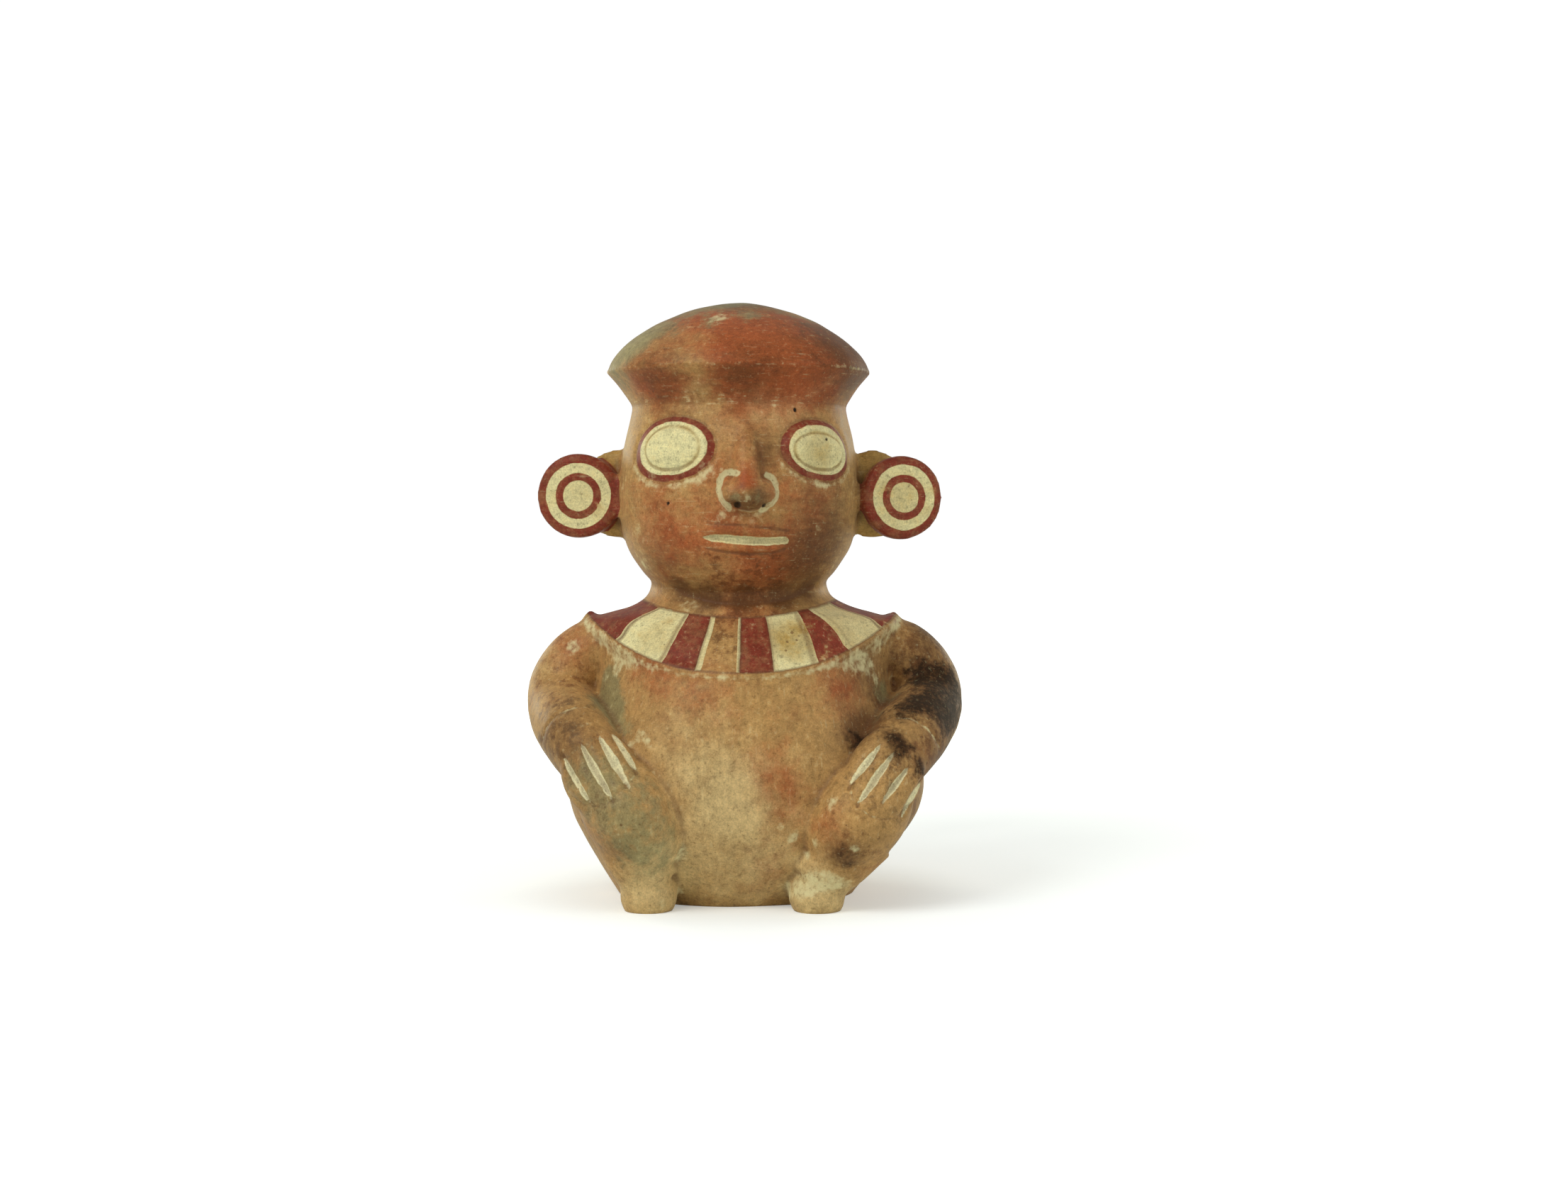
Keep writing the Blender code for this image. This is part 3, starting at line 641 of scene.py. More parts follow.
def ears():
    """An ear's flange and the round plug that it carries, on each side."""
    pieces = []
    for side, place, turn in zip((-1, 1), DISC_PLACES, DISC_TURNS):
        centre, sizes = EAR
        pieces.append(blob("ear", mirrored(centre, side) * MM, Vector(sizes) * MM))
        bpy.ops.mesh.primitive_cylinder_add(vertices=96, radius=DISC_RADIUS * MM,
                                            depth=DISC_THICKNESS * MM)
        disc = bpy.context.object
        disc.location = Vector(place) * MM
        disc.rotation_euler = (math.pi / 2, 0, turn)
        bevel = disc.modifiers.new("Edge", "BEVEL")
        bevel.width = DISC_BEVEL * MM
        bevel.segments = 3
        pieces.append(disc)
    return pieces


def stirrup_path(radius, steps):
    """Beads from the head's hollow, over the crown of the stirrup, into the torso's hollow."""
    back, height = HANDLE_CENTRE
    places = [HEAD_ENTRY]
    for i in range(HANDLE_STEPS + 1):
        angle = HANDLE_START + (HANDLE_END - HANDLE_START) * i / HANDLE_STEPS
        places.append((back + HANDLE_REACH / MM * math.cos(angle),
                       height + HANDLE_RISE / MM * math.sin(angle)))
    places.append(BACK_ENTRY)
    return [(0.0, y * MM, z * MM, radius) for y, z in spline(places, steps)]


def spout_foot():
    """The crown of the stirrup's centre line, where the spout stands."""
    return Vector((0, HANDLE_CENTRE[0] * MM, HANDLE_CENTRE[1] * MM + HANDLE_RISE))


def spout_outline():
    """The spout's outside above its foot, made taller than the lip, which is then cut level."""
    radius, lip = SPOUT_DIAMETER / 2, LIP_DIAMETER / 2
    top = SPOUT_HEIGHT + LIP_SPARE
    lip_bottom = SPOUT_HEIGHT - LIP_DEPTH
    return [(0, top), (lip, top), (lip, lip_bottom + LIP_FLARE), (radius, lip_bottom),
            (TUBE_DIAMETER / 2, 0), (0, 0)]


def stirrup():
    body = turned("spout", spout_outline(), AROUND)
    body.location = spout_foot()
    return [tube("handle", stirrup_path(TUBE_DIAMETER / 2, 8)), body]


def inset(outline, depth):
    """The outline moved inwards, without the stretches where it would fold over itself."""
    moved = []
    for i, (radius, height) in enumerate(outline):
        before, after = outline[max(i - 1, 0)], outline[min(i + 1, len(outline) - 1)]
        along = Vector((after[0] - before[0], after[1] - before[1])).normalized()
        place = Vector((radius + along.y * depth, height - along.x * depth))
        clear = all((place - Vector(other)).length > depth * FOLDED for other in outline)
        if clear and place.x > 0:
            moved.append(tuple(place))
    return moved


def torso_cavity():
    """The torso's hollow: flat on its floor, and open upwards into the head's."""
    sections = torso_sections()[::-1]
    sides = inset([(width, height) for height, width, _, _, _ in sections], WALL)
    fronts = inset([(depth, height) for height, _, depth, _, _ in sections], WALL)
    shifts = [(shift, height) for height, _, _, shift, _ in sections]
    squares = [(squareness, height) for height, _, _, _, squareness in sections]
    floor, top, heel = WALL, NECK_TOP * MM, HEEL * MM
    levels = [floor, floor + heel]
    levels += [h * MM for h, *_ in TORSO if floor + 2 * heel < h * MM < top - heel] + [top]
    rows = []
    for level in levels:
        narrower = heel if level == floor else 0
        rows.append((level, at_height(sides, level) - narrower, at_height(fronts, level) - narrower,
                     at_height(shifts, level), at_height(squares, level)))
    return loft("torso_cavity", rows, CAVITY_AROUND)


def head_cavity():
    hollow = inset(head_outline(), WALL)[::3]
    top = (0, CAP_TOP * MM - WALL)
    bottom = (0, CHIN_BOTTOM * MM + WALL)
    body = turned("head_cavity", [top, *hollow, bottom], CAVITY_AROUND)
    body.matrix_world = head_frame() @ Matrix.Diagonal((1, HEAD_DEPTH, 1, 1))
    return body


def spout_bore():
    bpy.ops.mesh.primitive_cylinder_add(vertices=48, radius=SPOUT_BORE / 2,
                                        depth=SPOUT_HEIGHT + OVERRUN)
    bore = bpy.context.object
    bore.location = spout_foot() + Vector((0, 0, (SPOUT_HEIGHT + OVERRUN) / 2))
    return bore


def block(name, centre, size):
    bpy.ops.mesh.primitive_cube_add(size=1)
    cube = bpy.context.object
    cube.name = name
    cube.location = centre
    cube.scale = size
    return cube


def cutters():
    """What is taken from the fused clay: the level cuts below and at the lip, and the hollow."""
    low = block("floor_cut", (0, 0, -FLOOR_CUT[2] / 2), FLOOR_CUT)
    lip = spout_foot() + Vector((0, 0, SPOUT_HEIGHT + OVERRUN))
    high = block("lip_cut", lip, (LIP_DIAMETER * 1.5, LIP_DIAMETER * 1.5, OVERRUN * 2))
    bore = join("stirrup_bore", [tube("bore_path", stirrup_path(TUBE_BORE / 2, 6), sides=8)])
    head = join("head_hollow", [head_cavity()])
    return [low, high, torso_cavity(), head, bore, spout_bore()]


def fused_clay():
    """The outside of the vessel as one fine mesh."""
    pieces = [loft("torso", torso_sections(), AROUND), head_body()]
    pieces += [tube("collar", hem_beads(facing)) for facing in (-1, 1)]
    pieces += limbs(-1) + limbs(1) + nose() + eyes() + lips() + ears() + stirrup()
    body = join("clay", pieces)
    fuse = body.modifiers.new("Fuse", "REMESH")
    fuse.mode = "VOXEL"
    fuse.voxel_size = GRAIN
    smooth = body.modifiers.new("Smooth joins", "SMOOTH")
    smooth.iterations = SMOOTHING_PASSES
    mesh = evaluated_mesh(body)
    bpy.data.objects.remove(body)
    return mesh


# Fields over the surface: one number to a vertex, in millimetres unless it is a share


def places_of(mesh):
    """The vertices, in millimetres."""
    flat = np.empty(len(mesh.vertices) * 3, np.float32)
    mesh.vertices.foreach_get("co", flat)
    return flat.reshape(-1, 3).astype(float) / MM


def normals_of(mesh):
    flat = np.empty(len(mesh.vertices) * 3, np.float32)
    mesh.vertex_normals.foreach_get("vector", flat)
    return flat.reshape(-1, 3).astype(float)


def to_line(points, line):
    """Each point's distance to a line through places, and the share of its length up to there."""
    nearest = np.full(len(points), 1e6)
    along = np.zeros(len(points))
    line = np.asarray(line, float)
    for i, (start, end) in enumerate(zip(line, line[1:])):
        step = end - start
        share = np.clip((points - start) @ step / (step @ step), 0, 1)
        gap = np.linalg.norm(points - start - share[:, None] * step, axis=1)
        nearer = gap < nearest
        nearest[nearer] = gap[nearer]
        along[nearer] = (i + share[nearer]) / (len(line) - 1)
    return nearest, along


def to_oval(across, height, middle, half, tilt, power=2.1):
    """Roughly how far a place lies outside an oval; negative inside."""
    right, up = across - middle[0], height - middle[1]
    du = right * math.cos(tilt) + up * math.sin(tilt)
    dz = up * math.cos(tilt) - right * math.sin(tilt)
    size = ((np.abs(du) / half[0]) ** power + (np.abs(dz) / half[1]) ** power) ** (1 / power)
    size = np.maximum(size, 0.05)
    return np.hypot(du, dz) * (1 - 1 / size)


def bump(distance, width):
    """1 at no distance, falling smoothly to nothing at about two widths."""
    return np.exp(-((distance / width) ** 2))


def rise(value, low, high):
    """0 up to low, 1 from high, smooth in between."""
    share = np.clip((value - low) / (high - low), 0, 1)
    return share * share * (3 - 2 * share)


def glow(points, places):
    """The sum of soft round patches."""
    total = np.zeros(len(points))
    for *centre, reach, strength in places:
        total += strength * bump(np.linalg.norm(points - np.array(centre), axis=1), reach)
    return total


def on_face(points):
    """Millimetres across the face from its middle, and height, with 999 across behind the ears."""
    turn = Matrix.Rotation(-HEAD_TURN, 2)
    centred = points[:, :2] - np.array(HEAD_CENTRE)
    across, back = (centred @ np.array(turn).T).T
    angle = np.arctan2(across, -back / HEAD_DEPTH)
    near = (np.abs(angle) < FACE_ENDS[0]) & (np.hypot(across, back) < FACE_ENDS[1])
    return np.where(near, angle * FACE_RADIUS, OFF_FACE), points[:, 2]


def on_head(points):
    """Height, with 0 away from the head and its cap."""
    return np.where(points[:, 1] > BODY_BACK - 8, 0.0, points[:, 2])


def chin_distance(across, height):
    """Millimetres from the crease between the chin and the neck, which fades towards the ears."""
    crease = CHIN_CREASE[0] + CHIN_CREASE[1] * across**2
    faded = np.abs(height - crease) + 4 * rise(np.abs(across), *CHIN_FADES)
    return np.where(across == OFF_FACE, FAR, faded)


def nearest_oval(across, height, ovals):
    return np.minimum(*(to_oval(across, height, *oval, tilt) for oval, tilt in zip(ovals, EYE_TILTS)))


def slit_distance(across, height):
    """How far outside the mouth's slit."""
    flat = np.column_stack([across, height])
    gap, along = to_line(flat, [place[:2] for place in SLIT])
    widths = np.interp(along, np.linspace(0, 1, len(SLIT)), [place[2] for place in SLIT])
    return gap - widths


def stripe_edges():
    """Where the stripes end, in millimetres round the neck, on average over their height."""
    first, last = STRIPE_SPAN
    middles = [first, *((top + bottom) / 2 for top, bottom in STRIPES), last]
    return [math.radians(angle - first) * STRIPE_SCALE for angle in middles]


def stripe_place(points):
    """How far round the neck a place is, drawn out so that each stripe has its average width."""
    across, back = (points[:, :2] - np.array(STRIPES_ABOUT)).T
    radius = np.hypot(across, back)
    angle = np.degrees(np.arctan2(across, -back))
    first, last = STRIPE_SPAN
    angle = np.where(angle < first, angle + 360, angle)
    low = np.clip((radius - STRIPE_RADII[0]) / (STRIPE_RADII[1] - STRIPE_RADII[0]), 0, 1.3)
    edges = [first + low * 0, *(top + (bottom - top) * low for top, bottom in STRIPES), last + low * 0]
    widths = np.diff(stripe_edges())
    return sum(width * np.clip((angle - left) / (right - left), 0, 1)
               for left, right, width in zip(edges, edges[1:], widths))


def hem_wear(points, hem):
    """The pale band rubbed along the hem, broad towards the shoulders."""
    share = np.clip(np.abs(points[:, 0] - COLLAR_MIDDLE) / COLLAR_REACH, 0, 1)
    width = 1.2 + 2.6 * bump(share - 0.78, 0.2)
    return bump(hem - width * 0.8, width) * (0.62 + 0.2 * share)


def hem_distance(points):
    """How far outside and below the collar's hem; negative on the collar."""
    share = np.clip(np.abs(points[:, 0] - COLLAR_MIDDLE) / COLLAR_REACH, 0, 1)
    height = COLLAR_LOW + (COLLAR_CORNER - COLLAR_LOW) * share**COLLAR_BEND
    slope = (COLLAR_CORNER - COLLAR_LOW) * COLLAR_BEND * share ** (COLLAR_BEND - 1) / COLLAR_REACH
    gaps = [to_line(points, np.array(hem_beads(facing))[:, :3] / MM)[0] for facing in (-1, 1)]
    outer = np.abs(points[:, 0] - COLLAR_MIDDLE) > COLLAR_REACH
    below = (height - points[:, 2]) / np.hypot(1, slope)
    below = np.where(below > 4, np.maximum(below, np.minimum(*gaps)), below)
    distance = np.where(outer, np.minimum(*gaps), below)
    return np.where(points[:, 1] > BODY_BACK, FAR, distance)


def stroke_distance(points):
    """How far outside the strokes between the fingers."""
    nearest = np.full(len(points), FAR)
    flattened = np.array((1, STROKE_DEPTH, 1))
    for start, end, width in STROKES:
        gap, along = to_line(points * flattened, np.array((start, end)) * flattened)
        nearest = np.minimum(nearest, gap - width * np.sin(math.pi * along) ** 0.7)
    return nearest


def disc_places(points):
    """Millimetres from a plug's axis, over its front face and rim, and how far outside the plug."""
    radial = np.full(len(points), FAR)
    outside = np.full(len(points), FAR)
    for place, turn in zip(DISC_PLACES, DISC_TURNS):
        facing = np.array((math.sin(turn), -math.cos(turn), 0.0))
        offset = points - np.array(place)
        depth = offset @ facing
        ring = np.linalg.norm(offset - depth[:, None] * facing, axis=1)
        beyond = np.maximum(ring - DISC_RADIUS, np.abs(depth) - DISC_THICKNESS / 2)
        nearer = beyond < outside
        outside[nearer] = beyond[nearer]
        face = np.where(depth > 0, ring, DISC_RADIUS)
        radial[nearer] = face[nearer]
    return radial, outside


def ear_distance(points):
    """Roughly how far outside the ears' flanges."""
    nearest = np.full(len(points), FAR)
    for side in (-1, 1):
        offset = (points - np.array(mirrored(EAR[0], side))) / np.array(EAR[1])
        nearest = np.minimum(nearest, (np.linalg.norm(offset, axis=1) - 1) * EAR[1][1])
    return nearest


def nearest_line(points, lines):
    return np.min([to_line(points, line)[0] for line in lines], axis=0)


def drawn_fields(points):
    """Distances from all that is drawn on the clay, by name."""
    across, height = on_face(points)
    face = np.column_stack([across, height])
    wings, lip_lines = (nearest_line(face, [spline(crease, 5) for crease in creases])
                        for creases in (WING_CREASES, LIP_CREASES))
    radial, outside = disc_places(points)
    return {
        "eye_inner": nearest_oval(across, height, EYE_INNER),
        "eye_cream": nearest_oval(across, height, EYE_CREAM),
        "eye_ring": nearest_oval(across, height, EYE_RING),
        "slit": slit_distance(across, height),
        "wings": wings,
        "lip_lines": lip_lines,
        "chin": chin_distance(across, height),
        "head": on_head(points),
        "cuffs": nearest_line(points, CUFFS),
        "hand_ends": nearest_line(points, HAND_ENDS),
        "strokes": stroke_distance(points),
        "disc": radial,
        "disc_outside": outside,
    }


def carve(mesh):
    """Moves the vertices for the carving, and for the unevenness of hand work."""
    points, normals = places_of(mesh), normals_of(mesh)
    across, height = on_face(points)
    fields = drawn_fields(points)
    out = sum(raised * bump(fields[name] - middle, width) for name, middle, width, raised in CARVED)
    out -= SLIT_DEPTH * (1 - rise(fields["slit"], -0.9, 0.7))
    out -= STROKE_GROOVE * (1 - rise(fields["strokes"], -1.2, 1.3))
    (middle, low), (wide, tall), raised = NOSE_BASE
    base = np.hypot((across - middle) / wide, (height - low) / tall)
    out += raised * (1 - rise(base, 0.6, 1.05))
    for u, z, size in NOSTRIL_HOLES + FACE_PITS:
        out -= size * bump(np.hypot(across - u, height - z), size)
    boss = 0.35 * bump(fields["disc"] - DISC_RADIUS * 0.45, 1.6)
    out += np.where(fields["disc_outside"] < 1.2, boss, 0)
    out += np.array([sum(size * noise.noise(Vector(place) / reach) for reach, size in HAND_WORK)
                     for place in points])
    moved = (points + normals * out[:, None]) * MM
    mesh.vertices.foreach_set("co", moved.astype(np.float32).ravel())
    mesh.update()


def hollows(mesh, passes, points, normals):
    """How far each vertex stands out from its surroundings; negative in a crease."""
    edges = np.empty(len(mesh.edges) * 2, np.int32)
    mesh.edges.foreach_get("vertices", edges)
    first, second = edges.reshape(-1, 2).T
    count = np.bincount(first, minlength=len(points)) + np.bincount(second, minlength=len(points))
    count = np.maximum(count, 1)[:, None]
    smooth = points.copy()
    for _ in range(passes):
        total = np.column_stack([
            np.bincount(first, smooth[second, axis], len(points))
            + np.bincount(second, smooth[first, axis], len(points))
            for axis in range(3)
        ])
        smooth = 0.5 * smooth + 0.5 * total / count
    return np.einsum("ij,ij->i", points - smooth, normals)


def paint_fields(mesh):
    """All painted and worn fields, painted shade among them, by name."""
    points, normals = places_of(mesh), normals_of(mesh)
    across, height = on_face(points)
    fields = drawn_fields(points)
    hem = hem_distance(points)
    side = np.sin(np.arctan2(points[:, 0] - STRIPES_ABOUT[0],
                             np.abs(points[:, 1] - STRIPES_ABOUT[1]))) ** 2
    collar = np.maximum(hem, points[:, 2] - COLLAR_TOP - COLLAR_TOP_RISE * side)
    halo = 0.75 * bump(fields["eye_ring"] - 1.8, 1.5) * (1 - rise(height, 163, 171))
    rubbed = np.minimum(1.5 * glow(points, RUBBED), 0.85) * rise(collar, -1.2, 0.3)
    tones = {"mottle": MOTTLED, "red_tone": REDDENED, "dark_and_shade_tone": DARKENED_AND_SHADED, "pale_tone": PALED,
             "green_tone": GREENED}
    return {
        **fields,
        **{name: glow(points, places) for name, places in tones.items()},
        "lines": np.minimum(fields["cuffs"], fields["hand_ends"]),
        "holes": np.min([np.hypot(across - u, height - z) - size * 0.9
                         for u, z, size in NOSTRIL_HOLES + FACE_PITS], axis=0),
        "stripe": stripe_place(points),
        "collar": collar,
        "ear": ear_distance(points),
        "height": points[:, 2],
        "soot": np.minimum(glow(points, SOOTED), 1.8),
        "rub": np.max([rubbed, hem_wear(points, hem), halo], axis=0),
        "crease_fine": hollows(mesh, FINE_PASSES, points, normals),
        "crease_broad": hollows(mesh, BROAD_PASSES, points, normals),
    }


def vessel():
    mesh = fused_clay()
    carve(mesh)
    body = add_object("clay_vessel", mesh)
    for cutter in cutters():
        cut = body.modifiers.new(cutter.name, "BOOLEAN")
        cut.operation = "DIFFERENCE"
        cut.solver = "MANIFOLD"
        cut.object = cutter
    body.modifiers.new("thinner", "DECIMATE").ratio = THINNED
    finished = evaluated_mesh(body)
    finished.name = "clay_vessel"
    for cutter in [step.object for step in body.modifiers if step.type == "BOOLEAN"]:
        bpy.data.objects.remove(cutter)
    body.modifiers.clear()
    body.data = finished
    finished.shade_smooth()
    for name, values in paint_fields(finished).items():
        field = finished.attributes.new(name, "FLOAT", "POINT")
        field.data.foreach_set("value", values.astype(np.float32))
    finished.materials.clear()
    finished.materials.append(painted_clay())
    return body


# Material


class Value:
    """A number or a colour in a material's graph; arithmetic on it adds nodes."""

    def __init__(self, graph, socket):
        self.graph, self.socket = graph, socket

    def __add__(self, other):
        return self.graph.math("ADD", self, other)

    def __sub__(self, other):
        return self.graph.math("SUBTRACT", self, other)

    def __rsub__(self, other):
        return self.graph.math("SUBTRACT", other, self)

    def __mul__(self, other):
        return self.graph.math("MULTIPLY", self, other)

    def __truediv__(self, other):
        return self.graph.math("DIVIDE", self, other)

    def __or__(self, other):
        """The larger of the two."""
        return self.graph.math("MAXIMUM", self, other)

    def __abs__(self):
        return self.graph.math("ABSOLUTE", self)

    def step(self, low, high):
        """0 below low and 1 above high, or the other way round if high is the smaller."""
        return self.graph.out("MapRange", "Result",
                              {"Value": self, "From Min": low, "From Max": high},
                              interpolation_type="SMOOTHSTEP")

    def sway(self, size):
        """A noise's swing to both sides of nothing, so large in all."""
        return (self - 0.5) * size


class Graph:
    """Short calls for the nodes of one material."""

    def __init__(self, name):
        self.material = bpy.data.materials.new(name)
        self.material.use_nodes = True
        self.tree = self.material.node_tree
        self.tree.nodes.clear()
        self.colour = CLAY

    def node(self, kind, inputs, **settings):
        made = self.tree.nodes.new("ShaderNode" + kind)
        for name, value in settings.items():
            setattr(made, name, value)
        for name, value in inputs.items():
            if isinstance(value, Value):
                self.tree.links.new(value.socket, made.inputs[name])
            else:
                made.inputs[name].default_value = value
        return made

    def out(self, kind, output, inputs, **settings):
        """An output of a new node."""
        return Value(self, self.node(kind, inputs, **settings).outputs[output])

    def place(self):
        return self.out("TexCoord", "Object", {})

    def field(self, name):
        """A number that the mesh holds at its vertices."""
        return self.out("Attribute", "Fac", {}, attribute_name=name)

    def math(self, operation, *values):
        return self.out("Math", 0, dict(enumerate(values)), operation=operation)

    def mix(self, share, under, over):
        return self.out("Mix", 2, {0: share, 6: under, 7: over}, data_type="RGBA")

    def coat(self, share, tint):
        """Lays a tint over the colour so far."""
        self.colour = self.mix(share, self.colour, tint)

    def noise(self, size, detail=3.0, stretch=None, roughness=0.55):
        """Soft noise, from 0 to 1, whose largest blots are about so many millimetres."""
        place = self.place()
        if stretch:
            place = self.out("Mapping", 0, {"Vector": place, "Scale": stretch})
        return self.out("TexNoise", "Fac", {"Vector": place, "Scale": 1 / (size * MM),
                                            "Detail": detail, "Roughness": roughness})

    def ramp(self, value, stops, interpolation):
        """A colour ramp over 0 to 1 with so many stops: position and colour."""
        made = self.node("ValToRGB", {"Fac": value})
        made.color_ramp.interpolation = interpolation
        elements = made.color_ramp.elements
        elements.remove(elements[-1])
        elements[0].position, elements[0].color = stops[0]
        for position, colour in stops[1:]:
            elements.new(position).color = colour
        return Value(self, made.outputs["Color"])

    def finished(self, inputs):
        """The material, with so much set on its shader."""
        self.node("OutputMaterial", {"Surface": self.out("BsdfPrincipled", 0, inputs)})
        return self.material


def stripe_slips(g, place):
    """How red and how cream the slip on each stripe is."""
    edges = stripe_edges()
    stops = [(edge / edges[-1], STRIPE_LOOKS[look]) for edge, look in zip(edges, STRIPE_FIELDS)]
    parts = g.node("SeparateColor", {"Color": g.ramp(place / edges[-1], stops, "CONSTANT")})
    return Value(g, parts.outputs["Red"]), Value(g, parts.outputs["Green"])


def stripe_lines(g, place):
    """1 on the incised lines between the stripes."""
    *edges, total = stripe_edges()
    drawn = None
    for start in range(1, len(edges), LINES_TO_A_RAMP):
        stops = [(0, BLACK)]
        for edge in edges[start:start + LINES_TO_A_RAMP]:
            for offset, level in ((-1.4, BLACK), (-0.4, WHITE), (0.4, WHITE), (1.4, BLACK)):
                stops.append(((edge + offset * STRIPE_LINE) / total, level))
        lines = g.ramp(place / total, stops, "LINEAR")
        drawn = drawn | lines if drawn else lines
    return drawn


def painted_clay():
    g = Graph("worn_slip")
    broad, middle, fine, grit = g.noise(38), g.noise(11, 4), g.noise(2.6), g.noise(0.6, 2)
    mottled = g.noise(5, 5, roughness=0.7)
    ragged = g.noise(2.4, 5, roughness=0.8)
    flecks = g.noise(1.3, roughness=0.65)
    scratched = g.noise(8, 4, stretch=(1, 1, 12))
    upright = g.noise(9, 4, stretch=(6, 6, 1))
    level = g.noise(9, 4, stretch=(1, 1, 6))
    upper = g.field("height").step(104, 122)
    brushed = level * upper + upright * (1 - upper)
    grazed = scratched * upper + upright * (1 - upper)
    edge = middle.sway(0.9) + fine.sway(0.9)
    dark, soot, head = g.field("dark_and_shade_tone"), g.field("soot"), g.field("head")

    def inside(name, offset=0.0, soft=0.25):
        """1 inside a field whose edge wanders a little."""
        return (g.field(name) - offset + edge).step(soft, -soft)

    # Bare and burnished clay, its dark tone partly painted shade
    g.coat((g.field("red_tone") + broad.sway(1.6) + mottled.sway(1.1)).step(0, 1), CLAY_RED)
    g.coat((g.field("pale_tone") + middle.sway(1.2)).step(0.2, 1.2) * 0.75, CLAY_PALE)
    # Darker where the dark tone is: the clay's own dark patches, and painted shade under the chin, brim
    # and nose and on the right cheek
    g.coat((dark + brushed.sway(1.2)).step(0.05, 1.15) * 0.85, CLAY_DARK_AND_SHADE)
    g.coat((g.field("green_tone") + mottled.sway(2.6)).step(0.3, 1.3) * 0.7, PATINA)
    stained = (g.field("mottle") * 0.22 + mottled).step(0.62, 0.8)
    g.coat(stained * g.field("mottle").step(0.1, 0.7) * 0.65, CLAY_DARK_AND_SHADE)

    # Ears, cream behind their plugs
    g.coat(g.field("ear").step(0.9, 0.2) * 0.7, CREAM_DIRTY_AND_SHADED)

    # Collar
    round_neck = g.field("stripe") + middle.sway(0.9)
    red_share, cream_share = stripe_slips(g, round_neck)
    collar = inside("collar", -1.0)
    stripe_line = stripe_lines(g, round_neck) * collar
    top_line = abs(g.field("collar") + 1.0).step(0.7, 0.2)

    # Eyes, mouth, plugs and fingers
    eye_cream = inside("eye_cream")
    eye_ring = inside("eye_ring") - eye_cream
    plug = g.field("disc_outside").step(1.1, 0.6)
    radial = g.field("disc") + edge * 0.8
    plug_cream = radial.step(6.1, 5.7) + radial.step(8.7, 9.1) * radial.step(12.9, 12.5)
    plug_cream = plug_cream * plug
    strokes = inside("strokes", soft=0.2)

    # Slips, worn through here and there
    worn = (middle * 0.6 + fine * 0.4).step(0.6, 0.68)
    reds = red_share * collar | eye_ring | plug * (1 - plug_cream)
    g.coat(reds * (1 - worn * 0.75),
           g.mix(mottled.step(0.42, 0.66) * 0.6, SLIP_RED, SLIP_RED_WORN))
    # Creams dirtier at random, and darker where the dark tone is, partly painted shade
    dirt_and_shade = middle.step(0.45, 0.75) * 0.45 + fine.step(0.5, 0.75) * 0.25 + dark.step(0.25, 1.1) * 0.6
    creams = cream_share * collar | eye_cream | plug_cream | inside("slit") | strokes
    creams = creams * (1 - worn * 0.3)
    g.coat(creams, g.mix(dirt_and_shade, CREAM, CREAM_DIRTY_AND_SHADED))
    g.coat(strokes * 0.45, BONE)

    # Unevenness of tone at every size
    shade = middle.sway(0.6) + 0.97 + fine.sway(0.75) + grit.sway(0.8) + brushed.sway(0.4)
    g.colour = g.out("HueSaturation", 0, {"Color": g.colour, "Value": shade})

    # Incised lines, dark with dirt; fine and broad creases, and the chin's crease, darkened as painted
    # shade
    crease = g.field("crease_broad")
    incised = stripe_line * 0.75 | top_line * 0.5 | g.field("lip_lines").step(0.9, 0.2) * 0.6
    # The fine creases taken into the incised lines are painted shade
    incised = incised | g.field("crease_fine").step(-0.05, -0.22) * 0.4
    eye_line = abs(g.field("eye_inner") - 0.5).step(1.2, 0.1)
    g.coat(eye_line * middle.step(0.2, 0.7) * 0.75, CREAM_DIRTY_AND_SHADED)
    g.coat(incised * fine.step(0.2, 0.42), LINE)
    # Painted shadow along the crease under the chin
    g.coat(g.field("chin").step(1.9, 0.2) * 0.6, CLAY_DARK_AND_SHADE)
    # Painted shade in the broad creases
    g.coat(crease.step(-0.35, -2.2) * 0.45, CLAY_DARK_AND_SHADE)

    # Pale wear on ridges, round the nose, under the eyes and along the hem
    wings = (g.field("wings") + fine.sway(3.2)).step(1.9, 0.7)
    cap_root = abs(head - CAP_ROOT).step(4.5, 0.4) * scratched.step(0.5, 0.62)
    cap_edge = abs(head - CAP_RIM).step(1.1, 0.1)
    cuffs = g.field("lines").step(0.9, 0.2)
    rub = g.field("rub") | crease.step(0.9, 2.6) * 0.4 | cap_edge * 0.35 | wings * 1.1
    rub = rub | cuffs * 0.6 | cap_root * 0.4
    patchy = (rub + (fine.sway(1.7) + middle.sway(1.3))).step(0.3, 1.15)
    g.coat(patchy * 0.72, RUB)
    g.coat(grazed.step(0.58, 0.72) * fine.step(0.4, 0.6) * 0.2, RUB)

    # Soot, painted shade in the nostrils and pits, and dark specks
    g.coat((soot + (mottled - 0.5)).step(0.3, 1.4) * 0.75, CLAY_DARK_AND_SHADE)
    burnt = (soot + (mottled.sway(3) + ragged.sway(6))).step(-0.1, 2.1) * soot.step(0.05, 0.4)
    g.coat(burnt * 0.94, SOOT_AND_PIT_SHADE)
    # Painted shade in the nostrils and the small pits
    g.coat(g.field("holes").step(0.35, -0.25), SOOT_AND_PIT_SHADE)
    cells = g.out("TexVoronoi", "Distance", {"Vector": g.place(), "Scale": 1 / (SPECKS_APART * MM)})
    speck_size = middle.step(0.5, 0.72) * 0.14 + dark.step(0.3, 1.2) * 0.12
    specks = (cells - speck_size).step(0.03, -0.03)
    g.coat(specks * 0.6, CLAY_DARK_AND_SHADE)
    g.coat(flecks.step(0.58, 0.74) * 0.16, RUB)
    g.coat(flecks.step(0.42, 0.3) * 0.34, CLAY_DARK_AND_SHADE)

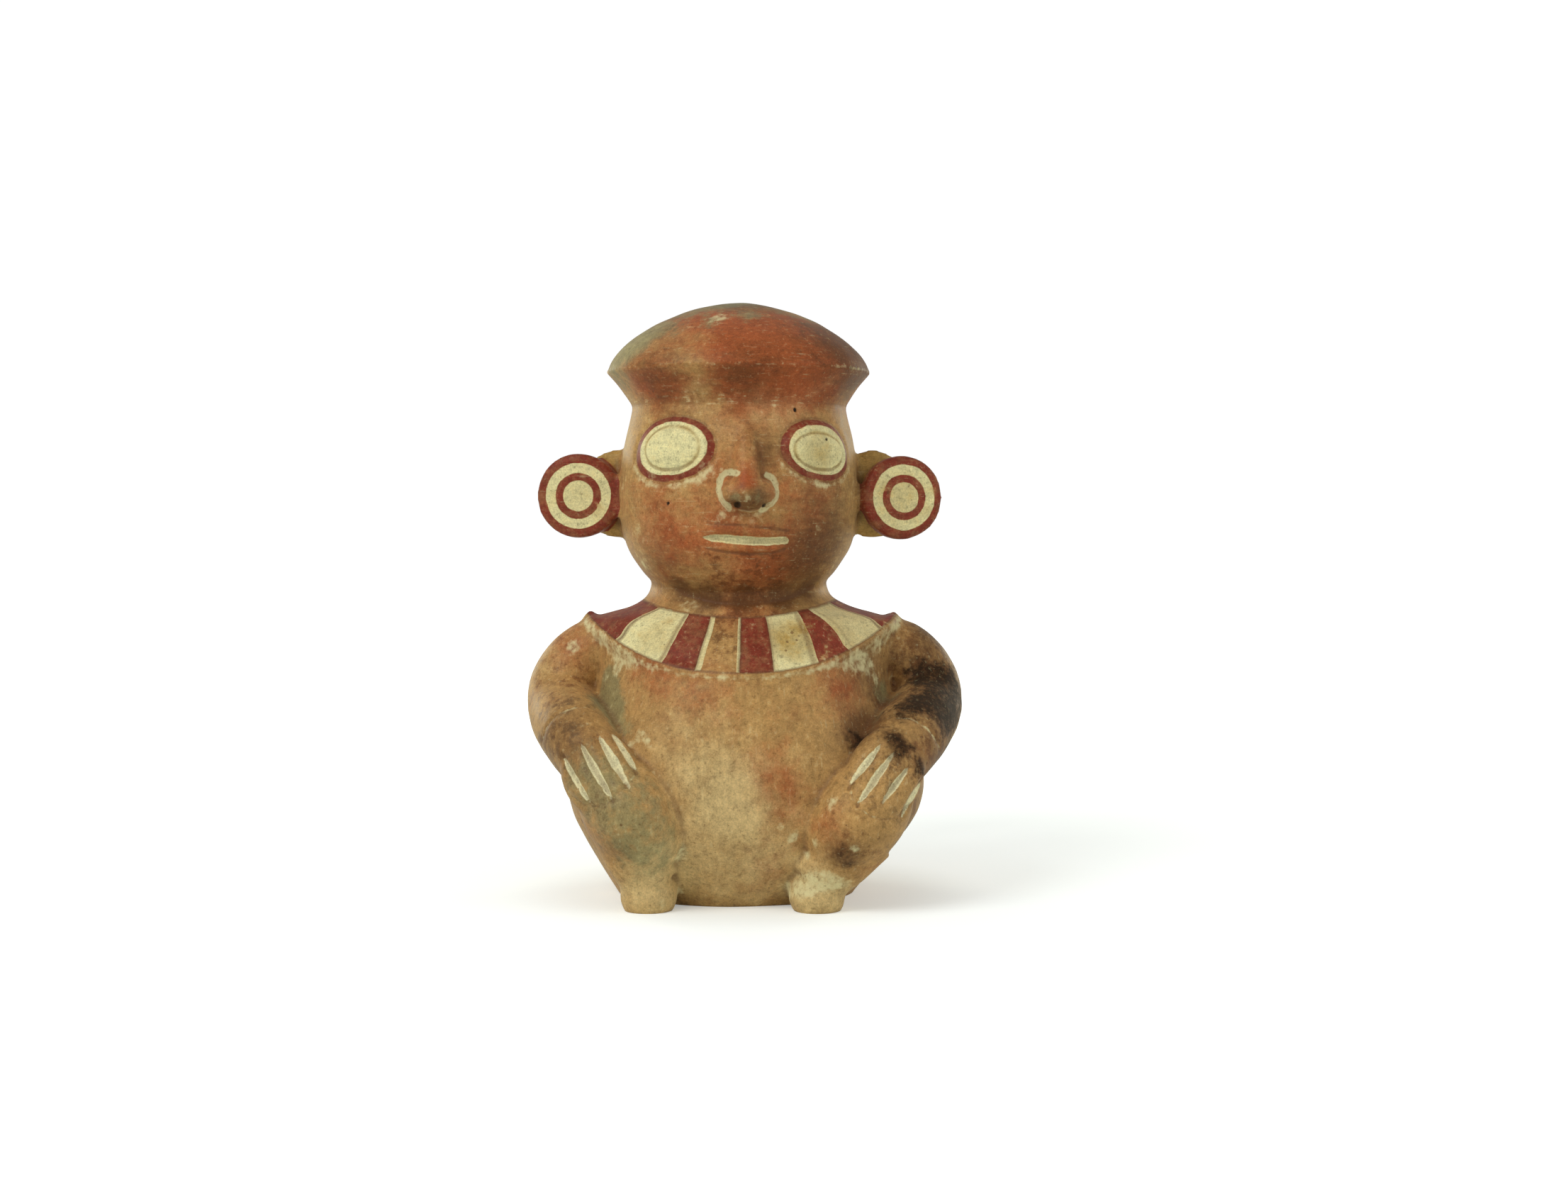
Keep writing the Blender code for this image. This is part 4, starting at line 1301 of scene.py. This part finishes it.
    # Sheen and bumps
    rough = (creams | patchy | burnt) * 0.22 + 0.5 + fine.sway(0.25)
    high = fine * 0.1 + grit * 0.05 - incised * 0.3 - specks * 0.22 + creams * 0.06
    bumps = g.out("Bump", "Normal", {"Height": high, "Strength": 0.55, "Distance": MM})
    return g.finished({"Base Color": g.colour, "Roughness": rough, "Specular IOR Level": 0.17,
                       "Sheen Weight": 0.07, "Sheen Roughness": 0.45,
                       "Sheen Tint": (0.96, 1, 0.82, 1), "Normal": bumps})


# Surroundings


def pale_floor():
    """White, lifted a little where the camera sees it, as an overlit table is, and lifted less within
    about 10 cm of the vessel as a painted contact shadow.
    """
    g = Graph("pale_floor")
    away = g.out("VectorMath", "Value", {0: g.place()}, operation="LENGTH")
    # Lifted 0.1 less within 6 cm of the vessel, easing back by 10 cm: a painted contact shadow
    lift_and_contact_shadow = away.step(0.06, 0.1) * 0.1 + 0.28 + away.step(0.2, 1.2) * 0.5
    return g.finished({"Base Color": FLOOR, "Roughness": 0.9, "Emission Color": FLOOR_LIFT,
                       "Emission Strength": g.out("LightPath", "Is Camera Ray", {}) * lift_and_contact_shadow})


def floor():
    bpy.ops.mesh.primitive_plane_add(size=FLOOR_SIZE)
    ground = bpy.context.object
    ground.name = "floor"
    ground.data.materials.append(pale_floor())


def soft_light(name, place, size, watts, colour):
    light = bpy.data.lights.new(name, "AREA")
    light.shape = "DISK"
    light.size = size
    light.energy = watts
    light.color = colour
    lamp = add_object(name, light)
    lamp.location = place
    lamp.rotation_euler = (Vector(LIT) - Vector(place)).to_track_quat("-Z", "Y").to_euler()


def studio():
    world = bpy.data.worlds.new("white_room")
    world.use_nodes = True
    nodes = world.node_tree.nodes
    background = nodes["Background"]
    background.inputs["Color"].default_value = WHITE
    seen = nodes.new("ShaderNodeLightPath").outputs["Is Camera Ray"]
    strength = nodes.new("ShaderNodeMapRange")
    strength.inputs["To Min"].default_value = ROOM_LIGHT
    strength.inputs["To Max"].default_value = ROOM_SEEN
    world.node_tree.links.new(seen, strength.inputs["Value"])
    world.node_tree.links.new(strength.outputs["Result"], background.inputs["Strength"])
    bpy.context.scene.world = world
    bpy.context.scene.view_settings.view_transform = "Standard"
    for light in LIGHTS:
        soft_light(*light)


def camera():
    view = bpy.data.cameras.new("camera")
    view.lens = CAMERA_LENS
    view.sensor_width = CAMERA_SENSOR
    eye = add_object("camera", view)
    eye.location = CAMERA_PLACE
    eye.rotation_euler = (math.radians(90 - CAMERA_DROP), 0, 0)
    bpy.context.scene.camera = eye


floor()
studio()
camera()
piece = vessel()
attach(piece, "root")
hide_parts("vessel")
